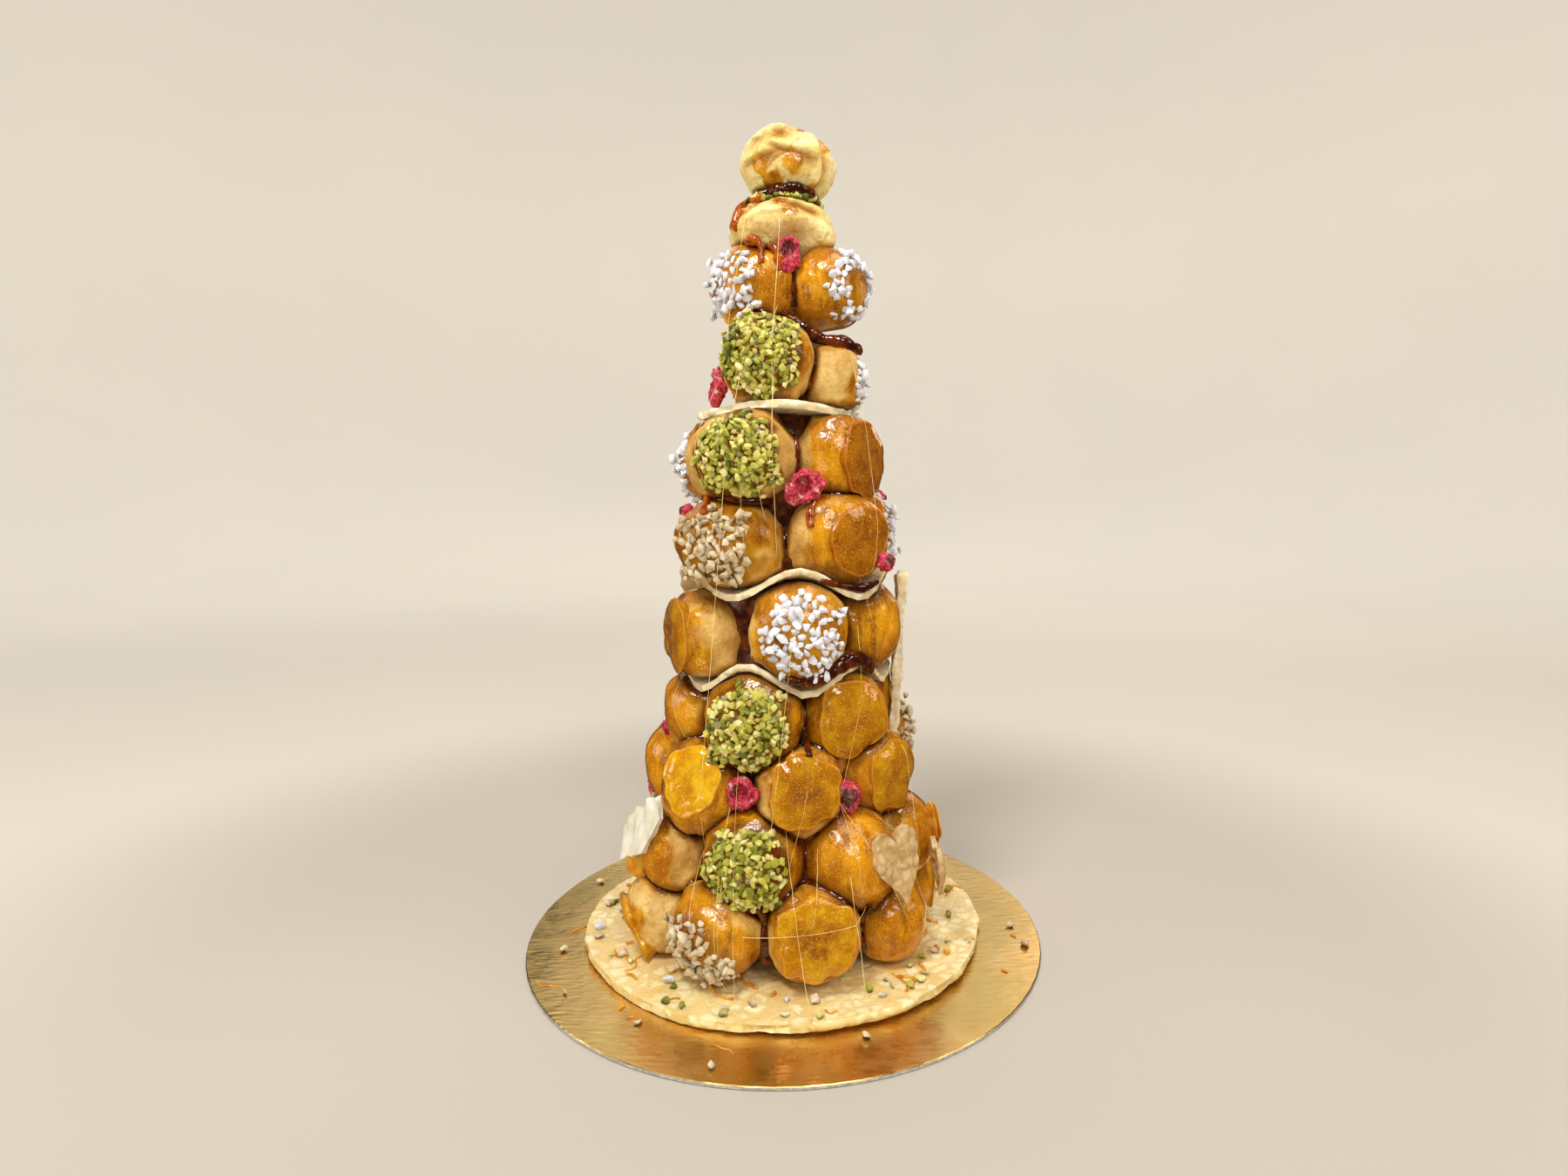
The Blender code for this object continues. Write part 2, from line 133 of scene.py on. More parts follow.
# How far back from its face the caramel of a choux starts: 1 is all bare and -1 all covered
BARE = {
    "10_1": 2.0, "11_1": 2.0, "8_2": 0.72, "8_1": 0.3, "7_1": 0.55, "6_2": 0.3, "6_1": 0.4, "5_1": 0.35,
    "5_2": 0.3, "5_3": -0.8, "4_3": 0.0, "3_2": 0.2, "3_3": 0.5, "2_1": 0.2, "2_3": -0.6, "1_1": 0.5,
    "1_3": 0.3, "1_4": -0.3, "9_1": -0.9, "9_2": -0.7,
}
# Choux that sagged against a neighbour: which way, and how far in millimetres
LEANS = {
    "9_1": (1, 0, 0.1, 3.4), "9_2": (-1, 0, 0, 1.6), "7_1": (0.8, 0, 0.6, 2.6), "7_2": (-0.8, 0, 0.6, 1.6),
    "6_1": (1, 0, 0, 1.0), "6_2": (-1, 0, 0, 1.0),
}
# How brown the dough baked, where not as much as 0.85
PALE = {"10_1": 0.1, "11_1": 0.0, "8_2": 0.7, "7_1": 0.8, "9_2": 0.6, "1_1": 0.7, "5_1": 0.8}
# Caramel smeared on bare dough: azimuth, tilt and size in degrees
SMEARS = {
    "11_1": (
        (40, 40, 16), (58, 20, 12), (8, -15, 13), (-34, -17, 13), (-24, -34, 14), (10, 72, 26), (46, -44, 14),
        (120, 10, 28), (-130, 20, 24),
    ),
    "10_1": ((-66, 10, 13), (-48, 34, 14), (-2, 26, 12), (14, 8, 10), (70, 40, 16), (150, 20, 30)),
    "8_2": ((60, -44, 26), (20, 60, 14)),
}
# Folds in the crust of the two plain choux at the top, whose dough is painted browner in them as shade: where
# each starts and ends, its depth and width
FOLDS = {
    "11_1": (
        (-56, 12, -10, 24, 1.7, 14), (-10, 24, 16, 38, 1.6, 13), (-8, 1, 26, -7, 2.1, 12),
        (-54, -8, -24, -5, 1.7, 11), (54, -42, 42, 2, 2.2, 13), (42, 2, 44, 40, 2.0, 12),
        (96, 20, 140, 6, 1.8, 14), (-150, 10, -100, 24, 1.8, 14), (170, -12, -160, 4, 1.6, 12),
    ),
    "10_1": (
        (0, 22, 40, 12, 2.8, 12), (-60, 4, -40, 20, 1.8, 11), (-32, -2, 2, 4, 1.2, 10),
        (90, 10, 130, 14, 1.6, 12), (-150, 8, -100, 12, 1.6, 12),
    ),
}
# Caps with toasted dough in the middle
TANNED = "1_3 3_3 5_1 2_7 4_6 3_6".split()
# How light a cap's caramel is, from 0 to 1
TONES = {
    "6_2": 0.2, "7_2": 0.2, "4_3": 0.5, "3_2": 1.0, "1_3": 0.7, "5_1": 0.6, "5_3": 0.3, "3_4": 0.5,
    "3_3": 0.45, "2_1": 0.6, "1_1": 0.9,
}

# Choux with each topping, and how far in degrees from the middle of the face it spreads, or starts
TOPPINGS = {
    "pistachio": "8_1 7_1 4_2 2_2 1_6 3_6 5_5 7_3".split(),
    "pearl_sugar": "9_1 9_2 8_2 7_4 6_3 5_2 1_8 2_5 4_5".split(),
    "almond_nibs": "6_1 3_5 1_2 2_7 6_4 8_3".split(),
}
SPREAD = 66
SPREADS = {"8_1": 68, "8_2": 52, "6_1": 50, "7_1": 58}
BARE_MIDDLES = {"9_2": 30}
# Painted shade: how dark the caramel is painted under each topping, in the gaps between the bits
TOPPING_GAP_SHADE = {"pistachio": 0.75, "pearl_sugar": 0.15, "almond_nibs": 0.4, None: 0.0}
# Seed, size, corners, stretch and rounding of the bits
BITS = {
    "pistachio": (3, 3.9 * MM, 13, (1.1, 0.95, 0.8), 0),
    "pearl_sugar": (5, 4.5 * MM, 11, (1.3, 0.95, 0.85), 0.03),
    "almond_nibs": (7, 4.5 * MM, 10, (1.3, 0.95, 0.9), 0.03),
}
BIT_SHAPES = 14
# Least distance between bits, tries to lay one, and the share with another on top
SPACINGS = {
    "pistachio": (1.95 * MM, 4200, 0.3),
    "pearl_sugar": (2.9 * MM, 2600, 0.25),
    "almond_nibs": (2.7 * MM, 1600, 0.5),
}
FALLEN = {"pistachio": 34, "pearl_sugar": 9, "almond_nibs": 26}
FALLEN_ON_CARD = 11

# Edge lengths of the visible nougatine pieces in millimetres
NOUGATINE_EDGES = {
    "base": 2.7, "plate_low": 2.6, "plate_mid": 2.6, "plate_high": 2.4, "plate_top": 2.0,
    "panel": 1.8, "heart": 1.0,
}

# Caramel between the choux, and a dark wall inside the tower that paints the shade seen through the gaps
GLUE_INSET = 1.0 * MM
GLUE_VOXEL = 2.1 * MM
GLUE_SMOOTHING = 4
WALL_INSET = -2.0 * MM
WALL_INSET_HIGH = 7.0 * MM
WALL_ROWS = 9

# Runs of dark caramel, each a list of (azimuth, height, thickness) in degrees and millimetres
CARAMEL_RUNS = (
    ((-40, 338.5, 3.5), (-15, 339.5, 5.5), (8, 340, 6), (30, 340, 5), (55, 338.5, 3)),
    ((100, 339, 3), (140, 340, 5), (180, 340, 5), (-140, 339, 3)),
    ((11, 237, 2), (11, 230, 3), (12, 221, 2.6), (12, 214, 3.4)),
    ((15, 306, 2), (15, 300, 3), (16, 294, 2.6), (17, 289, 3)),
    ((0, 287, 2.5), (14, 284, 4), (30, 280, 5.5), (46, 276, 6), (62, 273, 7.5), (74, 271, 6)),
    ((-34, 206, 2.2), (-22, 204, 3.2), (-10, 204, 3.2), (0, 201, 2.4), (5, 196, 3.4)),
    ((20, 171, 2.4), (32, 168.5, 3.4), (46, 167, 4), (60, 169, 2.4)),
    ((2, 131, 3), (10, 129, 5), (20, 131, 6), (30, 135, 6.5), (40, 137, 7), (50, 133, 5.5), (54, 129, 3)),
    ((14, 118, 1.8), (13, 108, 2.2), (12, 99, 3.4)),
    ((-2, 66, 2.2), (-1, 60, 3), (2, 52, 3)),
    ((-8, 40, 3), (-6, 32, 4.4), (-6, 22, 5), (-5, 15, 6)),
    ((34, 36, 2.4), (33, 26, 3.4), (33, 15, 5)),
    ((150, 205, 2.5), (165, 203, 4), (178, 204, 3)),
    ((-120, 128, 3), (-132, 126, 5), (-146, 129, 3)),
    ((100, 60, 2.4), (103, 50, 3), (104, 40, 3.4)),
    ((170, 60, 3), (176, 48, 4), (178, 36, 3)),
    ((-96, 60, 2.4), (-93, 46, 3.4), (-92, 34, 3)),
)
AMBER_RUNS = (
    ((-46, 316, 2.4), (-36, 317, 4.6), (-28, 315, 3.4), (-24, 310, 3), (-23, 306, 4)),
    ((-20, 315, 2.4), (-12, 314, 4), (-5, 311, 4.6), (-3, 307, 5), (-5, 303, 3)),
    ((-64, 336, 2.4), (-60, 332, 4), (-58, 328, 5), (-57, 324, 4), (-56, 322, 2)),
    ((-34, 338, 2.4), (-40, 336, 4), (-48, 335, 2.4)),
    ((20, 204, 2.2), (17, 200, 3.2), (16, 196, 3.8), (16, 193, 3)),
    ((-44, 206, 2), (-40, 202, 3), (-38, 198, 3.4)),
)
RUN_BRIDGE = 2.2
RUN_VOXEL = 0.6 * MM
# Crumbs of dried fruit: azimuth, height and size
FRUIT_CRUMBS = (
    (31, 79, 13), (55, 178, 8), (-80, 100, 7), (-60, 200, 6), (120, 205, 11), (168, 96, 13), (-140, 168, 12),
    (-112, 60, 12), (150, 268, 9),
)
# Threads that show one by one: azimuth and height of the top, turn, height and reach of the bottom
LONG_THREADS = (
    (-24, 262, -8, 60, 0), (-6, 290, 3, 180, 0), (-36, 60, 20, 6, 74), (2, 70, 6, 6, 78), (-22, 90, 4, 6, 70),
    (24, 52, -2, 6, 80), (-4, 262, -2, 205, 0), (-12, 30, 44, 36, 66), (-2, 330, -4, 262, 0),
    (-58, 262, 18, 210, 0), (-16, 236, 6, 196, 0), (14, 236, -4, 205, 0),
)
THREADS = 130
THREAD_GAP = 13 * MM
# Caramel that fell, and how many pieces of it came to lie on the nougatine
DROPS = 58
DROPS_ON_NOUGATINE = 47
# Caramel sheets: azimuth, height, width, height of the sheet, turn, how far it stands out
AMBER_SHEETS = (
    (-64, 44, 11, 13, 70, 2), (78, 56, 9, 20, 40, 2), (70, 60, 8, 18, 60, 3), (34, 93, 9, 17, -20, 0),
    (-62, 288, 9, 10, 40, 1), (150, 60, 12, 18, 50, 1), (-150, 110, 10, 22, 60, 1),
)
SHARD_GROWTH = 1.25
SHARD_SHIFT = 1.5 * MM
SIDE_HEART_TURN = 60
SIDE_HEART_SCALE = 0.8
SIDE_HEART_PLACE = Vector((68, -34, 42)) * MM


def srgb(red, green, blue):
    """A colour as the eye reads it, 0 to 255, as the linear colour that a shader takes."""
    parts = [c / 255 for c in (red, green, blue)]
    return tuple(c / 12.92 if c < 0.04045 else ((c + 0.055) / 1.055) ** 2.4 for c in parts) + (1.0,)


def beneath(red, green, blue):
    """The colour that looks like this one through the tinted caramel coat."""
    return tuple(min(1.0, c / t) for c, t in zip(srgb(red, green, blue)[:3], COAT_TINT)) + (1.0,)


def outward(azimuth, tilt=0.0):
    """Unit vector out from the tower: azimuth 0 is the front and 90 the right, and tilt turns it up."""
    a, t = math.radians(azimuth), math.radians(tilt)
    return Vector((math.sin(a) * math.cos(t), -math.cos(a) * math.cos(t), math.sin(t)))


def azimuth_of(point):
    return math.degrees(math.atan2(point.x, -point.y))


def across(direction):
    """Two unit vectors square to a direction, the first level and the second upward."""
    level = UP.cross(direction)
    level = level.normalized() if level.length > 0.05 else Vector((1, 0, 0))
    return level, direction.cross(level).normalized()


def smoothstep(low, high, value):
    t = min(1.0, max(0.0, (value - low) / (high - low)))
    return t * t * (3 - 2 * t)


def wave(point, size, shift=(0, 0, 0)):
    """Smooth noise over a surface, with waves of a size in millimetres."""
    return noise.noise(point / (size * MM) + Vector(shift))


def any_direction(draw):
    return Vector([draw.gauss(0, 1) for _ in range(3)]).normalized()


# ---------------------------------------------------------------- materials


class Paint:
    """A material with one Principled shader, and short calls for its nodes, with sizes in mm."""

    def __init__(self, name, **fixed):
        self.material = bpy.data.materials.new(name)
        self.material.use_nodes = True
        self.tree = self.material.node_tree
        self.surface = self.tree.nodes["Principled BSDF"]
        self.place = self.node("TexCoord").outputs["Object"]
        self.set(**fixed)

    def node(self, kind, settings=None, **inputs):
        made = self.tree.nodes.new("ShaderNode" + kind)
        for name, value in (settings or {}).items():
            setattr(made, name, value)
        for name, value in inputs.items():
            self.feed(made.inputs[name.replace("_", " ")], value)
        return made

    def feed(self, socket, value):
        if isinstance(value, bpy.types.NodeSocket):
            self.tree.links.new(value, socket)
        else:
            socket.default_value = value

    def fed(self, kind, settings, places, values):
        """A node whose sockets share their names, so that they are fed by their places."""
        made = self.node(kind, settings)
        for place, value in zip(places, values):
            self.feed(made.inputs[place], value)
        return made

    def set(self, **sockets):
        for name, value in sockets.items():
            self.feed(self.surface.inputs[name.replace("_", " ")], value)

    def noise(self, size, detail=4.0, roughness=0.55, stretch=None):
        place = self.node("Mapping", Vector=self.place, Scale=stretch).outputs[0] if stretch else self.place
        made = self.node("TexNoise", Vector=place, Scale=1 / (size * MM), Detail=detail, Roughness=roughness)
        return made.outputs[0]

    def mark(self, name):
        return self.node("Attribute", {"attribute_name": name}).outputs["Fac"]

    def span(self, value, low, high, to_low=0.0, to_high=1.0):
        made = self.node(
            "MapRange", {"interpolation_type": "SMOOTHSTEP"}, Value=value, From_Min=low, From_Max=high,
            To_Min=to_low, To_Max=to_high,
        )
        return made.outputs["Result"]

    def patches(self, size, detail, *ends):
        """Soft patches: noise of a size and detail, spanned."""
        return self.span(self.noise(size, detail), *ends)

    def math(self, first, second, operation="MULTIPLY"):
        return self.fed("Math", {"operation": operation}, (0, 1), (first, second)).outputs[0]

    def mix(self, factor, low, high):
        return self.fed("Mix", {"data_type": "FLOAT"}, (0, 2, 3), (factor, low, high)).outputs[0]

    def blend(self, factor, low, high):
        return self.fed("Mix", {"data_type": "RGBA"}, (0, 6, 7), (factor, low, high)).outputs[2]

    def bump(self, height, depth, normal=None):
        made = self.node("Bump", Height=height, Distance=depth * MM, Strength=1.0)
        if normal is not None:
            self.feed(made.inputs["Normal"], normal)
        return made.outputs["Normal"]

    def lumps(self, size, detail, depth, normal=None, roughness=0.55):
        """A bump from noise of a size and detail."""
        return self.bump(self.noise(size, detail, roughness), depth, normal)


def choux_paint():
    """Baked dough, matt and tan, with amber caramel wherever the glaze mark says so, and painted shade, a
    dark caramel colour, in the creases and under the toppings.
    """
    paint = Paint("choux_dough", Specular_IOR_Level=0.3, Subsurface_Weight=0.08, Subsurface_Scale=0.002)
    paint.set(Subsurface_Radius=(1.0, 0.45, 0.1), Coat_Roughness=0.04, Coat_IOR=1.5, Coat_Tint=COAT_TINT)
    broad = paint.noise(13, 3)
    fine = paint.noise(2.0, 5, 0.65)
    streaks = paint.noise(6, 3, 0.6, (1.0, 1.0, 0.35))
    bubbles = paint.noise(0.6, 2, 0.6)
    patches = paint.span(broad, 0.36, 0.66)
    pale = paint.blend(patches, srgb(252, 237, 170), srgb(236, 207, 122))
    brown = paint.blend(patches, srgb(220, 172, 84), srgb(180, 126, 46))
    # How brown the dough baked, with painted shade in the folds of the plain choux
    dough = paint.blend(paint.mark("bake"), pale, brown)
    dough = paint.blend(paint.span(fine, 0.48, 0.76, 0, 0.8), dough, srgb(184, 126, 54))
    amber = paint.blend(paint.span(broad, 0.38, 0.62), beneath(216, 148, 14), beneath(178, 108, 8))
    amber = paint.blend(paint.span(streaks, 0.5, 0.7, 0, 0.75), amber, beneath(128, 68, 4))
    amber = paint.blend(paint.span(streaks, 0.46, 0.28, 0, 0.7), amber, beneath(240, 182, 50))
    amber = paint.blend(paint.span(bubbles, 0.54, 0.68, 0, 0.5), amber, beneath(244, 198, 84))
    amber = paint.blend(paint.span(bubbles, 0.46, 0.32, 0, 0.4), amber, beneath(124, 66, 6))
    # Painted shade: the caramel is painted dark where the choux nearly touch and under toppings; partly real,
    # thicker caramel pooled in the creases
    amber = paint.blend(paint.mark("deep"), amber, beneath(70, 26, 3))
    glaze = paint.mark("glaze")
    grain = paint.noise(1.2, 3, 0.6)
    matt = paint.span(fine, 0.3, 0.7, 0.45, 0.62)
    shiny = paint.span(grain, 0.35, 0.7, 0.22, 0.36)
    normal = paint.bump(paint.math(grain, paint.mix(glaze, 1.7, 0.45)), 0.24)
    normal = paint.lumps(3.6, 3, 0.55, normal)
    paint.set(Base_Color=paint.blend(glaze, dough, amber), Coat_Weight=glaze)
    paint.set(Roughness=paint.mix(glaze, matt, shiny), Normal=normal, Coat_Normal=normal)
    return paint.material


def cap_paint():
    """Set caramel: amber over toasted dough in the middle, clear and deeper in its free rim, which is painted
    a lighter orange as a glow of light through the thin caramel.
    """
    paint = Paint("caramel_cap", IOR=1.49, Specular_IOR_Level=0.5, Coat_Tint=COAT_TINT)
    rim, tone = paint.mark("rim"), paint.mark("tone")
    broad = paint.noise(8, 3, 0.6)
    patches = paint.span(broad, 0.36, 0.64)
    bubbles = paint.noise(0.8, 3, 0.6)
    light = paint.blend(patches, beneath(248, 192, 26), beneath(216, 146, 10))
    dark = paint.blend(patches, beneath(160, 80, 3), beneath(128, 54, 2))
    toast = paint.blend(paint.span(broad, 0.4, 0.62), beneath(180, 116, 36), beneath(146, 84, 26))
    middle = paint.math(paint.span(rim, 0.55, 0.1), paint.patches(5, 3, 0.3, 0.58))
    colour = paint.blend(paint.math(middle, paint.mark("tan")), paint.blend(tone, dark, light), toast)
    colour = paint.blend(paint.span(bubbles, 0.54, 0.68, 0, 0.5), colour, beneath(246, 198, 78))
    colour = paint.blend(paint.span(bubbles, 0.46, 0.32, 0, 0.35), colour, beneath(124, 62, 6))
    # Painted light: the free rim is painted a lighter orange, as if lit through it; partly real, thin caramel
    # is paler
    edge = paint.blend(tone, srgb(232, 132, 22), srgb(252, 196, 64))
    colour = paint.blend(paint.span(rim, 0.6, 0.85, 0, 0.9), colour, edge)
    normal = paint.lumps(1.0, 2, 0.06, roughness=0.5)
    normal = paint.lumps(6, 2, 0.7, normal, roughness=0.5)
    paint.set(Base_Color=colour, Transmission_Weight=paint.span(rim, 0.7, 0.95, 0.12, 0.5))
    paint.set(Roughness=paint.patches(2, 3, 0.3, 0.7, 0.1, 0.22), Normal=normal)
    coat = paint.span(rim, 0.6, 0.9, 1.0, 0.3)
    paint.set(Coat_Normal=normal, Coat_Roughness=0.04, Coat_IOR=1.5, Coat_Weight=coat)
    return paint.material


def sugar_paint(name, specular, clear, colours, patches, roughness, lumps, index=1.49):
    """Set sugar or caramel, its two colours in soft patches: sizes, details and ends as Paint takes them."""
    paint = Paint(name, IOR=index, Specular_IOR_Level=specular, Transmission_Weight=clear)
    size, detail, low, high = roughness
    paint.set(Base_Color=paint.blend(paint.patches(*patches), *colours), Normal=paint.lumps(*lumps))
    paint.set(Roughness=paint.patches(size, detail, 0.3, 0.7, low, high))
    return paint.material


def nougatine_paint(name, sugars, almonds, size=6):
    """Pale set sugar packed with chopped almonds, each bit its own cream."""
    paint = Paint(name, IOR=1.48, Specular_IOR_Level=0.5, Subsurface_Weight=0.2, Subsurface_Scale=0.003)
    wander = paint.node("TexNoise", Vector=paint.place, Scale=1 / (3 * MM), Detail=2.0).outputs["Color"]
    shift = paint.node("VectorMath", {"operation": "SCALE"}, Scale=3.2 * MM)
    paint.feed(shift.inputs[0], wander)
    warped = paint.fed("VectorMath", {"operation": "ADD"}, (0, 1), (paint.place, shift.outputs[0])).outputs[0]
    bits = paint.node("TexVoronoi", Vector=warped, Scale=1 / (size * MM))
    veins = paint.node("TexVoronoi", {"feature": "DISTANCE_TO_EDGE"}, Vector=warped, Scale=1 / (size * MM))
    tone = paint.node("SeparateColor", Color=bits.outputs["Color"]).outputs[0]
    sugar = paint.blend(paint.span(paint.noise(20, 4, 0.6), 0.36, 0.66), *sugars)
    show = paint.math(paint.span(veins.outputs["Distance"], 0.0, 0.26), paint.span(tone, 0.1, 0.5))
    colour = paint.blend(show, sugar, paint.blend(tone, *almonds))
    colour = paint.blend(paint.patches(1.3, 3, 0.68, 0.76, 0, 0.3), colour, srgb(184, 128, 66))
    normal = paint.lumps(0.7, 3, 0.06, paint.bump(show, 0.16))
    normal = paint.lumps(6, 4, 0.5, normal, roughness=0.6)
    paint.set(Subsurface_Radius=(1.0, 0.8, 0.45), Base_Color=colour, Normal=normal)
    paint.set(Roughness=paint.patches(5, 4, 0.3, 0.7, 0.16, 0.4))
    return paint.material


def topping_paint(name, colours, roughness, radius, grain, foot):
    """Chopped nuts or sugar: colours from the tint mark of each bit, satin, with a fine grain, and painted
    shade on the underside of each bit.
    """
    paint = Paint(name, Specular_IOR_Level=0.45, Subsurface_Weight=0.1, Subsurface_Scale=0.0015)
    ramp = paint.node("ValToRGB", Fac=paint.mark("tint"))
    stops = ramp.color_ramp.elements
    while len(stops) < len(colours):
        stops.new(0.5)
    for stop, (at, *colour) in zip(stops, colours):
        stop.position = at
        stop.color = srgb(*colour)
    fine = paint.noise(grain, 3, 0.6)
    grainy = paint.span(fine, 0.35, 0.7, 0.84, 1.06)
    # Painted shade: each bit is darker on its underside, by the side mark, down to foot
    shade = paint.math(grainy, paint.span(paint.mark("side"), 0.2, 0.9, 1.0, foot))
    scaled = paint.node("VectorMath", {"operation": "SCALE"}, Scale=shade)
    paint.feed(scaled.inputs[0], ramp.outputs["Color"])
    paint.set(Subsurface_Radius=radius, Base_Color=scaled.outputs[0], Normal=paint.bump(fine, 0.08))
    paint.set(Roughness=paint.span(fine, 0.3, 0.7, roughness, roughness + 0.18))
    return paint.material


def fruit_paint():
    """Freeze-dried raspberry and strawberry: bright pink red, crumbly, pale inside, and dark in its hollow as
    painted shade.
    """
    paint = Paint("dried_fruit", Specular_IOR_Level=0.35, Subsurface_Weight=0.15, Subsurface_Scale=0.002)
    fine = paint.noise(1.2, 4, 0.65)
    pink = paint.blend(paint.span(fine, 0.38, 0.62), srgb(146, 16, 38), srgb(226, 78, 100))
    pink = paint.blend(paint.span(paint.noise(4, 4, 0.65), 0.56, 0.66), pink, srgb(222, 186, 168))
    # Painted shade: the hollow is painted dark, mixed with the pale inside of the fruit
    hollow = paint.blend(paint.span(fine, 0.46, 0.7), srgb(64, 26, 26), srgb(168, 116, 100))
    normal = paint.lumps(2, 3, 0.45, paint.lumps(0.5, 3, 0.12, roughness=0.6), roughness=0.6)
    paint.set(Subsurface_Radius=(1.0, 0.2, 0.25), Base_Color=paint.blend(paint.mark("hollow"), pink, hollow))
    paint.set(Roughness=paint.span(fine, 0.3, 0.7, 0.42, 0.75), Normal=normal)
    return paint.material


def foil_paint():
    """Gold foil on card, embossed with short level ripples, with a pale cut edge."""
    paint = Paint("gold_card")
    lift = paint.node("SeparateXYZ", Vector=paint.node("NewGeometry").outputs["Normal"]).outputs["Z"]
    side = paint.span(paint.math(lift, 0, "ABSOLUTE"), 0.55, 0.3)
    gold = paint.blend(paint.patches(60, 2, 0.35, 0.65), srgb(239, 197, 122), srgb(219, 185, 110))
    card = paint.blend(paint.patches(2, 3, 0.4, 0.6), srgb(206, 200, 184), srgb(176, 170, 156))
    paint.set(Base_Color=paint.blend(side, gold, card), Metallic=paint.span(side, 0.0, 1.0, 1.0, 0.0))
    paint.set(Roughness=paint.patches(9, 4, 0.3, 0.7, 0.22, 0.36))
    paint.set(Normal=paint.bump(paint.noise(2.0, 1, 0.5, (0.3, 1.0, 1.0)), 0.16))
    return paint.material


def floor_paint():
    """Plain pale beige surround, seamless and matt, its far floor and wall lit evenly."""
    paint = Paint("pale_surround", Roughness=0.9, Specular_IOR_Level=0.1, Emission_Color=srgb(232, 225, 213))
    level = paint.node("Mapping", Vector=paint.place, Scale=(1.0, 1.0, 0.0)).outputs[0]
    away = paint.node("VectorMath", {"operation": "LENGTH"}, Vector=level).outputs["Value"]
    floor = paint.span(away, 0.25, 0.5, 0.0, FLOOR_GLOW)
    wall = paint.span(away, 0.5, 2.2, 0.0, WALL_GLOW - FLOOR_GLOW)
    clouds = paint.patches(400, 2, 0.3, 0.7)
    paint.set(Base_Color=paint.blend(clouds, srgb(195, 186, 173), srgb(192, 184, 170)))
    paint.set(Emission_Strength=paint.math(floor, wall, "ADD"))
    return paint.material


# ---------------------------------------------------------------- meshes


def piece(name, points, faces, look, slot="choux_dough", marks=None, sharp=None):
    """A mesh object that rides with the tower, with one number per point for each named mark."""
    mesh = bpy.data.meshes.new(name)
    mesh.from_pydata([tuple(p) for p in points], [], [tuple(f) for f in faces])
    for label, values in (marks or {}).items():
        mark = mesh.attributes.new(label, "FLOAT", "POINT")
        mark.data.foreach_set("value", np.asarray(values, np.float32))
    mesh.shade_smooth()
    if sharp is not None:
        mesh.set_sharp_from_angle(angle=math.radians(sharp))
    mesh.materials.append(look)
    made = bpy.data.objects.new(name, mesh)
    bpy.context.scene.collection.objects.link(made)
    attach(made, "root")
    return made


class Joined:
    """Points, faces and marks of many forms, joined in one mesh."""

    def __init__(self):
        self.points, self.faces, self.marks = [], [], {}

    def add(self, points, faces, **marks):
        start = len(self.points)
        self.points += points
        self.faces += [tuple(start + i for i in face) for face in faces]
        for label, values in marks.items():
            self.marks.setdefault(label, []).extend(values)

    def tree(self):
        return BVHTree.FromPolygons(self.points, self.faces)

    def make(self, name, look, slot="choux_dough", sharp=None):
        return piece(name, self.points, self.faces, look, slot, self.marks, sharp)


def cad_triangles(node):
    """A node's points and triangles."""
    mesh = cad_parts[node].data
    mesh.calc_loop_triangles()
    return [v.co.copy() for v in mesh.vertices], [tuple(t.vertices) for t in mesh.loop_triangles]


def cad_tree(*nodes):
    """One search tree over several nodes."""
    joined = Joined()
    for node in nodes:
        joined.add(*cad_triangles(node))
    return joined.tree()


def middle_of(node):
    low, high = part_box(node)
    return (low + high) / 2


Ball = namedtuple("Ball", "directions faces edges degree")
Puff = namedtuple("Puff", "name centre facing level points tree")


def even_ball(cuts):
    """Even triangles over a unit sphere, with the pairs of points that are neighbours."""
    bm = bmesh.new()
    bmesh.ops.create_icosphere(bm, subdivisions=1, radius=1)
    bmesh.ops.subdivide_edges(bm, edges=bm.edges[:], cuts=cuts, use_grid_fill=True)
    bmesh.ops.triangulate(bm, faces=bm.faces[:])
    bm.verts.index_update()
    directions = [v.co.normalized() for v in bm.verts]
    faces = [tuple(v.index for v in f.verts) for f in bm.faces]
    edges = np.array([[v.index for v in e.verts] for e in bm.edges])
    bm.free()
    return Ball(directions, faces, edges, np.bincount(edges.ravel(), minlength=len(directions)))


def smoothed(values, ball, times):
    """Values over the ball's points, each averaged with its neighbours several times."""
    start, end = ball.edges.T
    for _ in range(times):
        total = np.bincount(start, values[end], len(values)) + np.bincount(end, values[start], len(values))
        values = 0.5 * values + 0.5 * total / ball.degree
    return values


def near_nodes(node, names, reach):
    """The other nodes whose boxes come within reach of this one's."""
    low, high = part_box(node)
    found = []
    for other in names:
        low_other, high_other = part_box(other)
        apart = max(max(low_other[i] - high[i], low[i] - high_other[i]) for i in range(3))
        if other != node and apart < reach:
            found.append(other)
    return found


def crack(point):
    """Depth, 0 to 1, of the fine splits that open where the dough rose."""
    split = abs(wave(point, CRACK_SIZE, (5.1, 2.3, 9.7)))
    patch = smoothstep(0.02, 0.3, wave(point, 2 * CRACK_SIZE, (1.7, 8.2, 3.3)))
    return patch * (1 - smoothstep(0, CRACK_WIDTH, split))


def fold(name, direction, point):
    """How far a plain choux's crust steps down under its folds."""
    sunk = 0.0
    place = direction + 0.05 * noise.noise_vector(point / (6 * MM))
    for azimuth, tilt, last_azimuth, last_tilt, depth, width in FOLDS.get(name, ()):
        start, end = outward(azimuth, tilt), outward(last_azimuth, last_tilt)
        along = end - start
        share = min(1.0, max(0.0, (place - start).dot(along) / along.length_squared))
        off = place - (start + along * share).normalized()
        above = off.dot(start.cross(end).normalized())
        near = math.exp(-((off.length / math.radians(width)) ** 2))
        sunk += depth * near * (smoothstep(0.035, -0.035, above) - 0.35 * smoothstep(-0.035, 0.1, above))
    return sunk * MM


